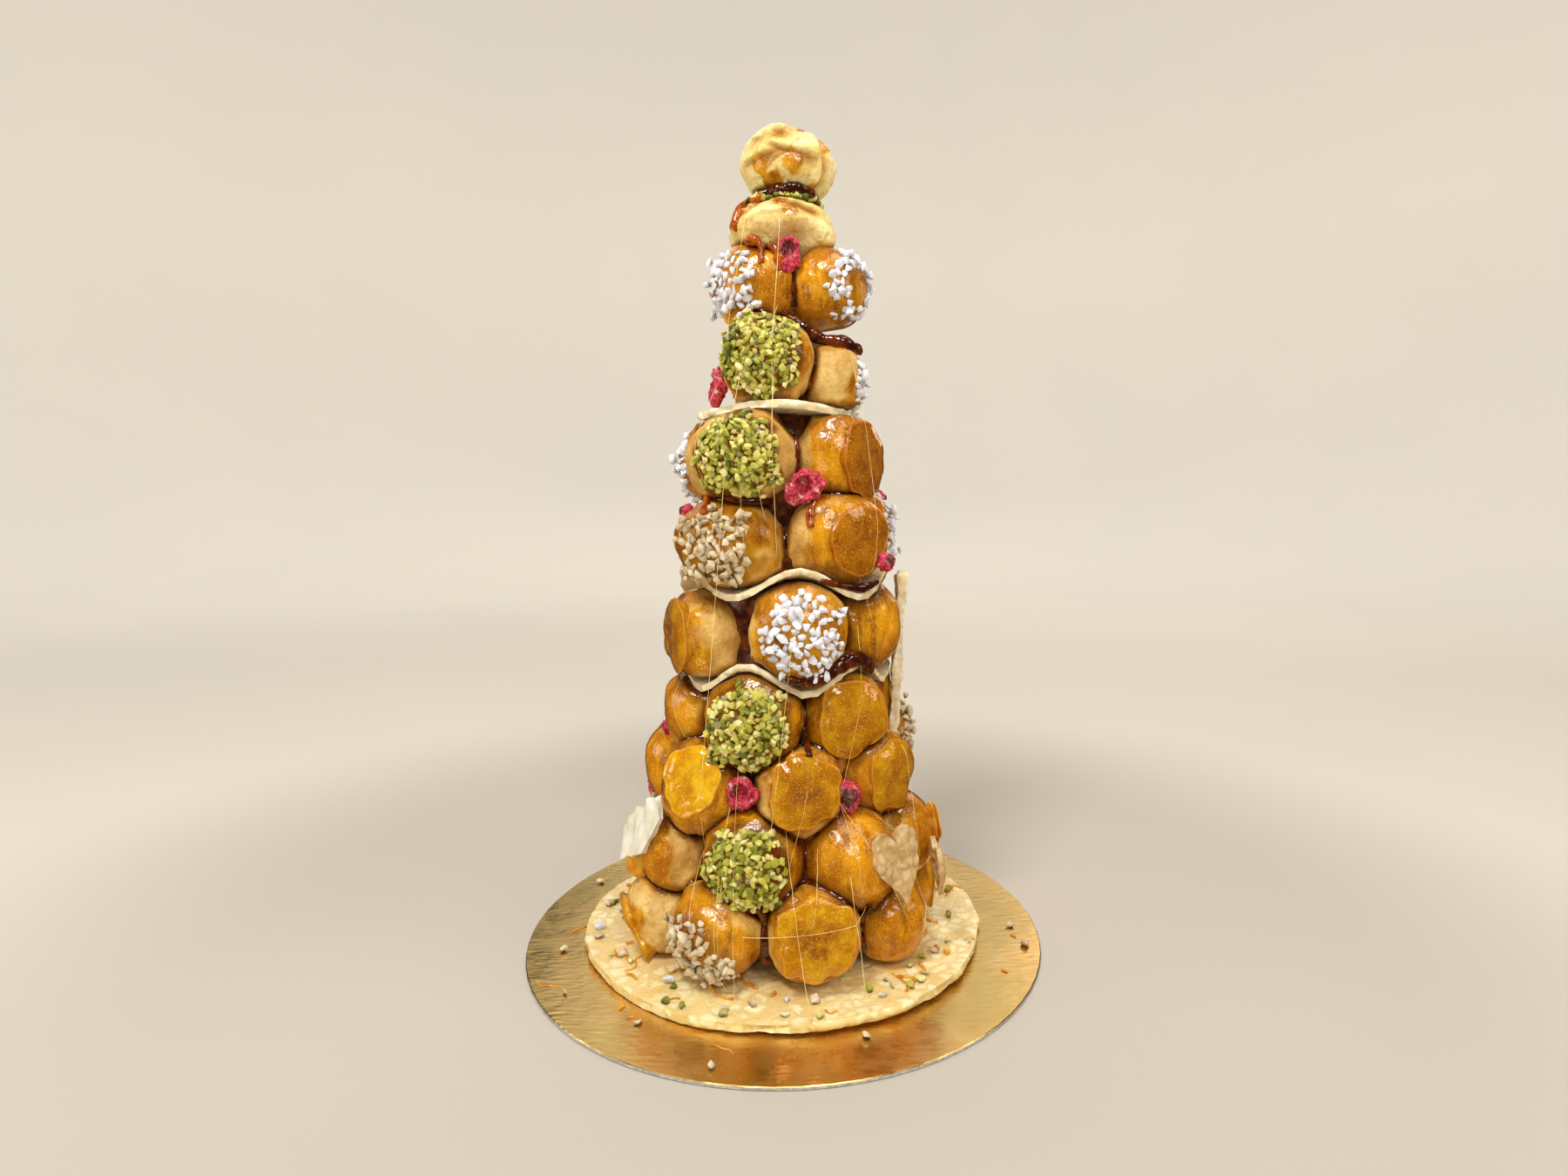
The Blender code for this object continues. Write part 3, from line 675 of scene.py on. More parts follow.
def settled(name, offset):
    """How the bun under the top one slumped: wide below, arched over the fruit, low on its right."""
    if name == "11_1":
        return 1.6 * MM * math.exp(-((offset.z / (8 * MM)) ** 2))
    if name != "10_1":
        return 0.0
    azimuth = azimuth_of(offset)
    low = smoothstep(0, -8 * MM, offset.z)
    wide = 2.6 * math.exp(-(((offset.z + 4 * MM) / (5 * MM)) ** 2))
    narrow = 2.2 * smoothstep(2 * MM, 10 * MM, offset.z)
    arch = 5.5 * low * math.exp(-(((azimuth - 14) / 24) ** 2))
    droop = 3.0 * low * math.exp(-(((azimuth - 60) / 24) ** 2))
    return (wide - narrow - arch + droop) * MM


def smear(name, direction, point):
    """Cover, 0 to 1, of the caramel smeared on a bare choux."""
    cover = 0.0
    for azimuth, tilt, size in SMEARS.get(name, ()):
        away = math.degrees(direction.angle(outward(azimuth, tilt))) / size
        cover = max(cover, smoothstep(1.1, 0.8, away + 0.7 * wave(point, 5)))
    return cover


def choux_skin(name, ball, look, nodes):
    """One choux: its solid's form smoothed, then lumps, pimples, splits and the step of the glaze."""
    node = "choux_" + name
    centre = middle_of(node)
    facing = outward(*FACING.get(name, (azimuth_of(centre), 0)))
    level = max((p - centre).dot(facing) for p in cad_triangles(node)[0])
    tree = cad_tree(node)
    radii = np.array([tree.ray_cast(centre, d)[3] for d in ball.directions])
    radii = smoothed(radii, ball, SKIN_SMOOTHING)
    near = cad_tree(*near_nodes(node, nodes, POOL_AND_SHADE_REACH))
    capped = name not in ROUNDED and not topping_of(name)
    reach = BARE.get(name, GLAZE_REACH)
    crumple = 1.5 if name in FOLDS else 1.0
    *side, lean = LEANS.get(name, (1, 0, 0, 0))
    side = Vector(side)
    gap_shade = TOPPING_GAP_SHADE[topping_of(name)]
    glaze, deep, bake, skin = [], [], [], []
    for radius, d in zip(radii, ball.directions):
        point = centre + d * radius
        ahead = d.dot(facing)
        gap = near.find_nearest(point, POOL_AND_SHADE_REACH)[3]
        gap = POOL_AND_SHADE_REACH if gap is None else gap
        # How near a neighbour is: caramel pools in the crease, and the same mark paints its shade there
        pool_and_shade = 1 - smoothstep(0.6 * MM, POOL_AND_SHADE_REACH, gap)
        if lean:
            pool_and_shade = max(pool_and_shade, smoothstep(0.82, 0.97, d.dot(side)))
        edge = ahead + 0.42 * wave(point, 12) + 0.14 * wave(point, 4)
        coat = smoothstep(reach - GLAZE_SOFTNESS, reach + GLAZE_SOFTNESS, edge)
        coat = max(coat, smear(name, d, point))
        swell = crumple * (LUMP_DEPTH * wave(point, LUMP_SIZE) + PIMPLE_DEPTH * wave(point, PIMPLE_SIZE))
        swell += GLAZE_THICKNESS * coat - crumple * CRACK_DEPTH * crack(point) * (1 - 0.8 * coat)
        swell += GAP_FILL * gap * (1 - smoothstep(0.4 * GAP_REACH, GAP_REACH, gap))
        folded = fold(name, d, point)
        swell += settled(name, d * radius) - folded + lean * MM * smoothstep(0.1, 0.9, d.dot(side))
        radius += swell
        if capped and ahead > 0.3:
            radius = min(radius, (level - 0.2 * MM) / ahead)
        elif name not in SMEARS:
            radius += DOME * smoothstep(0.5, 1.0, ahead)
        skin.append(centre + d * radius)
        glaze.append(max(coat, 0.9 * smoothstep(0.35, 0.8, pool_and_shade)))
        # The second mark is painted shade: in the creases and in the gaps under a topping
        deep.append(max(pool_and_shade, gap_shade * smoothstep(0.35, 0.55, ahead)))
        # Browner where it baked more and on top, and browner in the folds as painted shade
        bake.append(PALE.get(name, 0.85) + max(0, 0.5 * folded / MM) + 0.4 * smoothstep(0.5, 0.9, d.z))
    marks = {"glaze": glaze, "deep": deep, "bake": bake}
    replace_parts(piece("puff_" + name, skin, ball.faces, look, marks=marks), node)
    return Puff(name, centre, facing, level, skin, BVHTree.FromPolygons(skin, ball.faces))


def cap_outline(puff, side, angle):
    """How far the set caramel reaches from the choux's middle to one side: the choux and a free flange."""
    inner = puff.centre + puff.facing * (puff.level - CAP_DEPTH)
    body = puff.tree.ray_cast(inner, side)[3] or 12 * MM
    place = Vector((math.cos(angle), math.sin(angle), 0)) * 1.3 + puff.centre * 90
    scallop = abs(math.sin(3 * angle + 2 * noise.noise(place)))
    lobes = 0.25 + 0.5 * scallop + 0.6 * noise.noise(place * 2.2) + 0.25 * noise.noise(place * 7)
    return body, FLANGE * FLANGES.get(puff.name, 1.0) * max(0.1, lobes)


def dipped_cap(puff):
    """A flat caramel cap: (points, faces, rim marks). Its foot lies inside the choux."""
    level, up = across(puff.facing)
    top = puff.level + CAP_RISE
    sag = SAG_FREE if puff.name in FLANGES else SAG_CLOSE
    angles = [2 * math.pi * k / CAP_SEGMENTS for k in range(CAP_SEGMENTS)]
    sides = [level * math.cos(angle) + up * math.sin(angle) for angle in angles]
    bodies, flanges = zip(*(cap_outline(puff, side, angle) for side, angle in zip(sides, angles)))
    for _ in range(6):
        after = bodies[1:] + bodies[:1]
        bodies = tuple((bodies[k - 1] + 2 * bodies[k] + after[k]) / 4 for k in range(CAP_SEGMENTS))
    size = CAP_SHARE.get(puff.name, 1.0)
    uneven = [0.97 + 0.16 * noise.noise(side * 1.6 + puff.centre * 50) for side in sides]
    bodies = [body * size * share for body, share in zip(bodies, uneven)]
    points, rims = [puff.centre + puff.facing * top], [0.0]
    for share, spread, inset, drop, rim in CAP_PROFILE:
        for body, flange, side in zip(bodies, flanges, sides):
            place = puff.centre + side * share * (body + spread * flange + inset * MM)
            dish = 0.3 * MM * wave(place, 7) + 0.12 * MM * wave(place, 2.5)
            points.append(place + puff.facing * (top + drop * MM + dish - sag * share ** 5))
            rims.append(rim)
    points.append(puff.centre + puff.facing * (top - CAP_DEPTH))
    return points, lathe_faces(len(CAP_PROFILE), CAP_SEGMENTS), rims + [0.0]


def lathe_faces(rings, segments):
    """Faces of a closed form of rings between two end points, the first point ahead."""
    nexts = [(k, (k + 1) % segments) for k in range(segments)]
    faces = [(0, 1 + k, 1 + after) for k, after in nexts]
    for start in range(1, 1 + (rings - 1) * segments, segments):
        faces += [
            (start + k, start + segments + k, start + segments + after, start + after) for k, after in nexts
        ]
    start = 1 + (rings - 1) * segments
    return faces + [(start + segments, start + after, start + k) for k, after in nexts]


def caramel_caps(puffs, look):
    """All the dipped caps as one piece, and a search tree for each."""
    joined, trees = Joined(), []
    for puff in puffs:
        if puff.name in ROUNDED or topping_of(puff.name):
            continue
        points, faces, rims = dipped_cap(puff)
        trees.append(BVHTree.FromPolygons(points, faces))
        tan = 1.0 if puff.name in TANNED else 0.35
        tone = TONES.get(puff.name, 0.5 + 0.9 * noise.noise(puff.centre * 70))
        joined.add(points, faces, rim=rims, tan=[tan] * len(points), tone=[tone] * len(points))
    joined.make("caramel_caps", look, sharp=50)
    return trees


def topping_of(name):
    return next((kind for kind, names in TOPPINGS.items() if name in names), None)


# ---------------------------------------------------------------- toppings


def in_order(rings):
    """Faces as point numbers, sorted, because Blender's own order differs from run to run."""
    firsts = [ring.index(min(ring)) for ring in rings]
    return sorted(ring[first:] + ring[:first] for ring, first in zip(rings, firsts))


def hull_rings(points):
    """The triangles of the points' convex hull as point numbers."""
    bm = bmesh.new()
    made = [bm.verts.new(point) for point in points]
    bm.verts.index_update()
    bmesh.ops.convex_hull(bm, input=made)
    rings = [[v.index for v in face.verts] for face in bm.faces]
    bm.free()
    return in_order(rings)


def nugget(draw, corners, stretch, round_off):
    """A chopped bit about 1 across: the hull of a few points, its edges taken off."""
    points = []
    for _ in range(corners):
        direction = any_direction(draw)
        points.append([0.5 * direction[i] * stretch[i] * draw.uniform(0.85, 1.1) for i in range(3)])
    rings = hull_rings(points)
    bm = bmesh.new()
    made = {i: bm.verts.new(points[i]) for i in sorted({i for ring in rings for i in ring})}
    for ring in rings:
        bm.faces.new([made[i] for i in ring])
    bm.normal_update()
    bmesh.ops.dissolve_limit(bm, angle_limit=math.radians(14), verts=bm.verts[:], edges=bm.edges[:])
    if round_off:
        edges = bm.verts[:] + bm.edges[:]
        bmesh.ops.bevel(bm, geom=edges, offset=round_off, segments=1, affect="EDGES", profile=0.5)
    bmesh.ops.triangulate(bm, faces=bm.faces[:])
    bmesh.ops.recalc_face_normals(bm, faces=bm.faces[:])
    ordered = sorted(bm.verts, key=lambda v: tuple(v.co))
    rank = {v: i for i, v in enumerate(ordered)}
    points = np.array([v.co[:] for v in ordered])
    faces = np.array(in_order([[rank[v] for v in f.verts] for f in bm.faces]))
    bm.free()
    return points, faces


class Chips:
    """Many small bits of one kind, joined in one mesh."""

    def __init__(self, name, seed, size, corners, stretch, round_off):
        self.draw = random.Random(seed)
        self.name, self.size = name, size
        self.shapes = [nugget(self.draw, corners, stretch, round_off) for _ in range(BIT_SHAPES)]
        self.points, self.faces, self.tints, self.sides, self.count = [], [], [], [], 0

    def lay(self, place, normal, sink=0.2, tumble=0.35):
        """One bit on a surface, flat side down, turned at random."""
        points, faces = self.draw.choice(self.shapes)
        size = self.size * self.draw.uniform(0.72, 1.2)
        lean = Vector([self.draw.gauss(0, tumble) for _ in range(3)])
        axis = (normal + lean).normalized()
        first, second = across(axis)
        turn = Matrix.Rotation(self.draw.uniform(0, 2 * math.pi), 3, axis)
        turned = points @ np.array([turn @ first, turn @ second, axis])
        self.points.append(turned * size + np.array(place + normal * size * (0.3 - sink)))
        # How much each point faces down into the surface: painted shade on the underside, in topping_paint
        self.sides.append(np.clip(0.5 - 1.6 * turned @ np.array(normal), 0, 1))
        self.faces.append(faces + self.count)
        self.tints.append(np.full(len(points), self.draw.random()))
        self.count += len(points)

    def scatter(self, puff, spread, bare):
        """Bits on the face of a choux, out to spread degrees from its middle and none within bare degrees."""
        centre, facing, spots = puff.centre, puff.facing, []
        spacing, tries, piled = SPACINGS[self.name]
        for _ in range(tries):
            lean = any_direction(self.draw)
            share = math.sqrt(self.draw.random())
            angle = math.radians(spread) * share
            aside = (lean - facing * lean.dot(facing)).normalized()
            direction = facing * math.cos(angle) + aside * math.sin(angle)
            place, normal, _, _ = puff.tree.ray_cast(centre + direction * 60 * MM, -direction)
            if angle / math.radians(spread) > 0.82 + 0.35 * wave(place, 6):
                continue
            if direction.angle(facing) <= math.radians(bare):
                continue
            if any((place - spot).length < spacing for spot, _ in spots):
                continue
            spots.append((place, normal))
            self.lay(place, normal, 0.28)
        for place, normal in spots:
            if self.draw.random() < piled:
                side = Vector([self.draw.gauss(0, 1) for _ in range(3)]) * spacing * 0.4
                self.lay(place + side + normal * self.size * 0.3, normal, tumble=0.8)

    def drop(self, count, near, far, tree):
        """Loose bits that fell on a level surface, between two distances from the axis."""
        for _ in range(count):
            spot = outward(self.draw.uniform(-180, 180)) * self.draw.uniform(near, far) * MM
            place = tree.ray_cast(spot + UP * 40 * MM, -UP)[0]
            if place is not None:
                self.lay(place, UP, 0.0, 0.2)

    def make(self, slot, *look):
        marks = {"tint": np.concatenate(self.tints), "side": np.concatenate(self.sides)}
        points, faces = np.concatenate(self.points), np.concatenate(self.faces)
        piece(self.name, points, faces, topping_paint(self.name, *look), slot, marks, 35)


def toppings(puffs, nougatine_top, card_top):
    """Pistachio, pearl sugar and almond nibs on the choux, and the few that fell."""
    chips = {kind: Chips(kind, *bits) for kind, bits in BITS.items()}
    for puff in puffs:
        kind = topping_of(puff.name)
        if kind:
            chips[kind].scatter(puff, SPREADS.get(puff.name, SPREAD), BARE_MIDDLES.get(puff.name, 0))
    ring_of_chips(chips["pistachio"], puffs)
    for kind, count in FALLEN.items():
        chips[kind].drop(count, 74, 90, nougatine_top)
    chips["almond_nibs"].drop(FALLEN_ON_CARD, 97, 114, card_top)
    greens = (
        (0.0, 104, 114, 26), (0.25, 170, 168, 50), (0.6, 216, 206, 92),
        (0.95, 244, 232, 152), (1.0, 100, 72, 56),
    )
    whites = (0.0, 224, 223, 228), (1.0, 246, 247, 252)
    creams = (0.0, 208, 186, 142), (0.6, 236, 220, 184), (1.0, 188, 154, 104)
    # The last number is how dark the underside of each bit is painted, as shade
    chips["pistachio"].make("choux_dough", greens, 0.34, (0.8, 1.0, 0.3), 0.8, 0.1)
    chips["pearl_sugar"].make("sugar_shard", whites, 0.3, (1, 1, 1), 0.7, 0.5)
    chips["almond_nibs"].make("nougatine", creams, 0.4, (1, 0.8, 0.5), 0.9, 0.32)


def ring_of_chips(chips, puffs):
    """Pistachio in the caramel between the two choux at the top."""
    under = next(puff for puff in puffs if puff.name == "10_1")
    for _ in range(110):
        direction = outward(chips.draw.uniform(-180, 180), chips.draw.uniform(26, 42))
        place, normal, _, _ = under.tree.ray_cast(under.centre + direction * 50 * MM, -direction)
        chips.lay(place, normal, 0.0, 0.6)


# ---------------------------------------------------------------- nougatine, fruit, card


def fine_copy(node, edge, shape):
    """A node's mesh, its edges divided down to a length in mm and its points moved by shape."""
    points, faces = cad_triangles(node)
    bm = bmesh.new()
    made = [bm.verts.new(p) for p in points]
    for face in faces:
        bm.faces.new([made[i] for i in face])
    bmesh.ops.remove_doubles(bm, verts=bm.verts[:], dist=0.01 * MM)
    for _ in range(7):
        long_edges = [e for e in bm.edges if e.calc_length() > edge * MM]
        if not long_edges:
            break
        bmesh.ops.subdivide_edges(bm, edges=long_edges, cuts=1, use_grid_fill=True, use_single_edge=True)
        bmesh.ops.triangulate(bm, faces=bm.faces[:])
    bm.normal_update()
    bm.verts.index_update()
    moved = [shape(v.co.copy(), v.normal.copy()) for v in bm.verts]
    faces = [tuple(v.index for v in f.verts) for f in bm.faces]
    bm.free()
    return moved, faces


def broken_rim(point, normal):
    """Moves a nougatine point: ragged rims, and almonds that stand proud of the sugar."""
    rough = 0.45 * MM * wave(point, 3.4) + 0.25 * MM * wave(point, 1.5)
    side = 1 - abs(normal.z)
    ragged = 2.4 * MM * wave(point, 13, (3, 1, 4)) + 1.2 * MM * wave(point, 4)
    return point + normal * ((0.35 + 0.65 * side) * rough + side * ragged)


def nougatine(looks):
    """The plates, the base, the heart and the panel, each from its solid, and a search tree for each."""
    trees = {}
    for kind, edge in NOUGATINE_EDGES.items():
        points, faces = fine_copy("nougatine_" + kind, edge, broken_rim)
        plate = piece("nougat_" + kind, points, faces, looks[kind], "nougatine", sharp=60)
        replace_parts(plate, "nougatine_" + kind)
        trees[kind] = BVHTree.FromPolygons(points, faces)
    return trees


def side_heart(look):
    """A second heart, stuck on the right-hand side of the bottom row and seen edge on from the front."""
    points, faces = fine_copy("nougatine_heart", 1.2, broken_rim)
    middle = middle_of("nougatine_heart")
    turn = Matrix.Rotation(math.radians(SIDE_HEART_TURN), 3, "Z")
    points = [turn @ (p - middle) * SIDE_HEART_SCALE + SIDE_HEART_PLACE for p in points]
    piece("nougat_side_heart", points, faces, look, "nougatine", sharp=60)


def crumbly(hollow_at):
    """A shape function for dried fruit: broken lobes, and a pit that faces one way."""
    def shape(point, normal):
        lobes = 2.4 * MM * wave(point, 6, (7, 2, 5))
        rough = 1.2 * MM * wave(point, 2.4) + 0.6 * MM * wave(point, 1.1)
        pit = 3.4 * MM * smoothstep(4.6 * MM, 1.6 * MM, (point - hollow_at).length)
        return point + normal * (lobes + rough - pit)
    return shape


def dried_fruit(look, ball, trees):
    """The pieces of dried fruit, rough and hollow, and smaller crumbs of it in the creases."""
    for name in ("top", "left", "middle", "low"):
        node = "fruit_piece_" + name
        centre = middle_of(node)
        pit_at = cad_tree(node).ray_cast(centre, outward(azimuth_of(centre) - 18, 20))[0]
        points, faces = fine_copy(node, 0.7, crumbly(pit_at))
        # The hollow mark: where the pit's painted shade and pale inside go
        hollow = {"hollow": [smoothstep(4.4 * MM, 2.2 * MM, (p - pit_at).length) for p in points]}
        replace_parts(piece("fruit_" + name, points, faces, look, "dried_fruit", hollow, 50), node)
    crumbs = Joined()
    for azimuth, height, size in FRUIT_CRUMBS:
        place = tower_surface(azimuth, height * MM, trees)[0] + outward(azimuth) * 0.25 * size * MM
        pit_at = place + outward(azimuth - 20, 10) * 0.45 * size * MM
        points = []
        for d in ball.directions:
            rough = 1 + 0.35 * noise.noise(d * 1.4 + place * 300) + 0.2 * noise.noise(d * 4 + place * 200)
            points.append(place + d * 0.5 * size * MM * rough)
        hollow = [smoothstep(0.4, 0.2, (p - pit_at).length / (size * MM)) for p in points]
        crumbs.add(points, ball.faces, hollow=hollow)
    crumbs.make("fruit_crumbs", look, "dried_fruit", 50)


def card(look):
    """The foil card: its solid, hardly uneven."""
    points, faces = fine_copy("board", 6, lambda point, normal: point + normal * 0.04 * MM * wave(point, 20))
    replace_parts(piece("foil_card", points, faces, look, "gold_card", sharp=35), "board")
    return BVHTree.FromPolygons(points, faces)


def shard(look):
    """The pale sugar shard, its faces drawn out in long flutes."""
    def fluted(point, normal):
        return point + normal * 1.3 * MM * wave(Vector((point.x, point.y, point.z * 0.2)), 3)
    middle = middle_of("sugar_shard")
    points, faces = fine_copy("sugar_shard", 1.2, fluted)
    shift = outward(azimuth_of(middle)) * SHARD_SHIFT
    points = [middle + (p - middle) * SHARD_GROWTH + shift for p in points]
    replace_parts(piece("pulled_shard", points, faces, look, "sugar_shard", sharp=25), "sugar_shard")


# ---------------------------------------------------------------- caramel and spun sugar


def voxel_mesh(joined, voxel, smoothing):
    """The union of closed forms as one smooth skin."""
    mesh = bpy.data.meshes.new("union")
    mesh.from_pydata([tuple(p) for p in joined.points], [], joined.faces)
    made = bpy.data.objects.new("union", mesh)
    bpy.context.scene.collection.objects.link(made)
    remesh = made.modifiers.new("Remesh", "REMESH")
    remesh.mode = "VOXEL"
    remesh.voxel_size = voxel
    made.modifiers.new("Smooth", "SMOOTH").iterations = smoothing
    result = made.evaluated_get(bpy.context.evaluated_depsgraph_get()).to_mesh()
    out = [v.co.copy() for v in result.vertices], [tuple(p.vertices) for p in result.polygons]
    bpy.data.objects.remove(made)
    return out


def caramel_between(puffs, ball, look):
    """The caramel that holds the choux: it shows only in the creases, because it is their smoothed union."""
    joined = Joined()
    for puff in puffs:
        if puff.name not in FOLDS:
            joined.add([p - (p - puff.centre).normalized() * GLUE_INSET for p in puff.points], ball.faces)
    points, faces = voxel_mesh(joined, GLUE_VOXEL, GLUE_SMOOTHING)
    piece("caramel_between", points, faces, look)
    return BVHTree.FromPolygons(points, faces)


def inner_wall(puffs, look):
    """A dark wall inside the tower: painted shade, seen through the gaps between the choux."""
    rows = {}
    for puff in puffs:
        rows.setdefault(int(puff.name.split("_")[0]), []).append(puff.centre)
    heights, reaches = [3 * MM], [44 * MM]
    for row in sorted(rows)[:WALL_ROWS]:
        reach = min(Vector((c.x, c.y)).length for c in rows[row])
        heights.append(sum(c.z for c in rows[row]) / len(rows[row]))
        reaches.append(max(4 * MM, reach - (WALL_INSET if row < 8 else WALL_INSET_HIGH)))
    points, steps, sides = [UP * heights[0]], 60, 48
    for i in range(steps):
        height = heights[0] + (heights[-1] - heights[0]) * i / (steps - 1)
        reach = np.interp(height, heights, reaches)
        for k in range(sides):
            out = outward(-360 * k / sides)
            spot = out * reach + UP * height
            points.append(spot + out * 2 * MM * wave(spot, 9))
    points.append(UP * heights[-1])
    piece("inner_wall", points, lathe_faces(steps, sides), look)


def tower_surface(azimuth, height, trees):
    """Where a level line towards the axis first meets something: (place, normal, ...)."""
    out = outward(azimuth)
    hits = [tree.ray_cast(out * 0.16 + UP * height, -out, 0.16) for tree in trees]
    hits = [hit for hit in hits if hit[0] is not None]
    return min(hits, key=lambda hit: hit[3], default=(UP * height, out, 0, 0))


def reach_at(azimuth, height, trees):
    """How far from the axis the tower comes at that azimuth and height."""
    hit = tower_surface(azimuth, height, trees)[0]
    return math.hypot(hit.x, hit.y)


def curve_through(knots, steps):
    """Values on a smooth curve through knots, each a tuple of numbers."""
    knots = [knots[0]] + list(knots) + [knots[-1]]
    out = []
    for span in zip(knots, knots[1:], knots[2:], knots[3:]):
        for t in (i / steps for i in range(steps)):
            out.append(tuple(
                0.5 * (2 * q + (r - p) * t + (2 * p - 5 * q + 4 * r - s) * t * t
                       + (3 * q - p - 3 * r + s) * t ** 3)
                for p, q, r, s in zip(*span)
            ))
    return out + [knots[-1]]


def tube(places, radii, sides):
    """A closed tube along places, round, with its ends drawn to points."""
    points = [places[0]]
    for i, (place, radius) in enumerate(zip(places, radii)):
        along = (places[min(i + 1, len(places) - 1)] - places[max(i - 1, 0)]).normalized()
        first = along.orthogonal().normalized() if i == 0 else (first - along * first.dot(along)).normalized()
        second = first.cross(along)
        for k in range(sides):
            angle = 2 * math.pi * k / sides
            points.append(place + (first * math.cos(angle) + second * math.sin(angle)) * radius)
    points.append(places[-1])
    return points, lathe_faces(len(places), sides)


def caramel_runs(name, runs, trees, look):
    """Caramel that ran and set: strands along the seams, and drips that end in a drop."""
    joined = Joined()
    for run in runs:
        samples = curve_through(run, 7)
        reaches = [
            max(reach_at(azimuth, (height + side) * MM, trees) for side in (-RUN_BRIDGE, 0, RUN_BRIDGE))
            for azimuth, height, _ in samples
        ]
        for _ in range(4):
            sides = zip(reaches[:1] + reaches, reaches, reaches[1:] + reaches[-1:])
            reaches = [(before + here + after) / 3 for before, here, after in sides]
        places = [
            outward(azimuth) * (reach - 0.1 * thick * MM) + UP * height * MM
            for (azimuth, height, thick), reach in zip(samples, reaches)
        ]
        radii = [0.5 * thick * MM * (1 + 0.5 * wave(p, 4)) for (_, _, thick), p in zip(samples, places)]
        joined.add(*tube(places, radii, 12))
    piece(name, *voxel_mesh(joined, RUN_VOXEL, 3), look)


def taut(reaches):
    """The upper hull of heights at even steps: a string drawn tight over them."""
    hull = []
    for i, reach in enumerate(reaches):
        while len(hull) > 1:
            (i0, r0), (i1, r1) = hull[-2:]
            if (r1 - r0) * (i - i0) > (reach - r0) * (i1 - i0):
                break
            hull.pop()
        hull.append((i, reach))
    return np.interp(range(len(reaches)), *zip(*hull))


def spun_thread(start, end, thickness, trees, steps=34):
    """One thread from one (azimuth, height, reach) to another, tight over what stands out between them."""
    out = []
    for i in range(steps + 1):
        share = i / steps
        azimuth, height, reach = (a + (b - a) * share for a, b in zip(start, end))
        surface = reach_at(azimuth, height * MM, trees) + 0.15 * MM
        out.append((azimuth, height, max(surface, reach * MM if i in (0, steps) else 0)))
    reaches = taut([reach for _, _, reach in out])
    gap = max(reach - surface for reach, (_, _, surface) in zip(reaches, out))
    places = [
        outward(azimuth + 0.25 * noise.noise(Vector((height / 9, azimuth, 0)))) * reach + UP * height * MM
        for (azimuth, height, _), reach in zip(out, reaches)
    ]
    return gap, tube(places, [0.5 * thickness * MM] * len(places), 4)


def spun_sugar(trees, look):
    """Fine threads all over the tower, mostly upright, some of them down to the nougatine disc."""
    draw = random.Random(11)
    joined = Joined()
    for _ in range(THREADS):
        azimuth, top = draw.uniform(-180, 180), draw.uniform(40, 330)
        bottom = top - draw.uniform(18, 110)
        slant, thickness = draw.gauss(0, 9), draw.uniform(0.12, 0.24)
        to_disc = bottom < 12
        height, reach = (6, draw.uniform(66, 84)) if to_disc else (bottom, 0)
        gap, thread = spun_thread((azimuth, top, 0), (azimuth + slant, height, reach), thickness, trees)
        if gap < THREAD_GAP or to_disc:
            joined.add(*thread)
    for azimuth, top, turn, bottom, reach in LONG_THREADS:
        joined.add(*spun_thread((azimuth, top, 0), (azimuth + turn, bottom, reach), 0.24, trees)[1])
    joined.make("spun_sugar", look, "sugar_shard")


def drops_and_squiggles(base_top, card_top, look):
    """Caramel that fell on the nougatine and the card: drops, and threads that curled as they set."""
    draw = random.Random(23)
    joined = Joined()
    for i in range(DROPS):
        on_card = i >= DROPS_ON_NOUGATINE
        ends, top, share = ((96, 112), card_top, 0.6) if on_card else ((66, 88), base_top, 1.0)
        reach = draw.uniform(*ends)
        spot = outward(draw.uniform(-180, 180)) * reach * MM
        heading, bend, length = draw.uniform(0, 360), draw.gauss(0, 3), draw.choice((3, 6, 11, 16))
        thick = share * (draw.uniform(0.35, 0.75) if length > 4 else draw.uniform(0.7, 1.3))
        places, radii = [], []
        for _ in range(length * 2):
            ground = top.ray_cast(spot + UP * 60 * MM, -UP)[0]
            if ground is None:
                break
            places.append(ground + UP * 0.6 * thick * MM)
            radii.append(thick * MM * (1 + 0.45 * wave(ground, 2.5)))
            heading += bend + draw.gauss(0, 16)
            spot = spot + outward(heading) * 0.6 * MM
        if len(places) > 3:
            joined.add(*tube(places, radii, 8))
    joined.make("amber_drops", look, sharp=80)


def amber_sheets(trees, look):
    """Thin broken sheets of set caramel that stand out from the tower's sides."""
    joined = Joined()
    corners = 26
    angles = [2 * math.pi * k / corners for k in range(corners)]
    for azimuth, height, wide, tall, turn, lift in AMBER_SHEETS:
        place = tower_surface(azimuth, height * MM, trees)[0] + outward(azimuth) * lift * MM
        facing = outward(azimuth + turn, 8)
        level, up = across(facing)
        points = [place + facing * 0.5 * MM]
        for share, drop in ((0.55, 0.5), (1.0, 0.35), (1.0, -0.35), (0.55, -0.5)):
            for angle in angles:
                away = Vector((math.cos(angle) * 1.8, math.sin(angle) * 1.8, azimuth))
                ragged = 1 + 0.3 * noise.noise(away)
                x = wide * share * ragged * math.cos(angle) / 2
                z = tall * share * ragged * math.sin(angle) / 2
                points.append(place + (level * x + up * z + facing * (drop - 0.03 * x * x)) * MM)
        points.append(place - facing * 0.5 * MM)
        joined.add(points, lathe_faces(4, corners))
    joined.make("amber_sheets", look, sharp=60)


# ---------------------------------------------------------------- studio


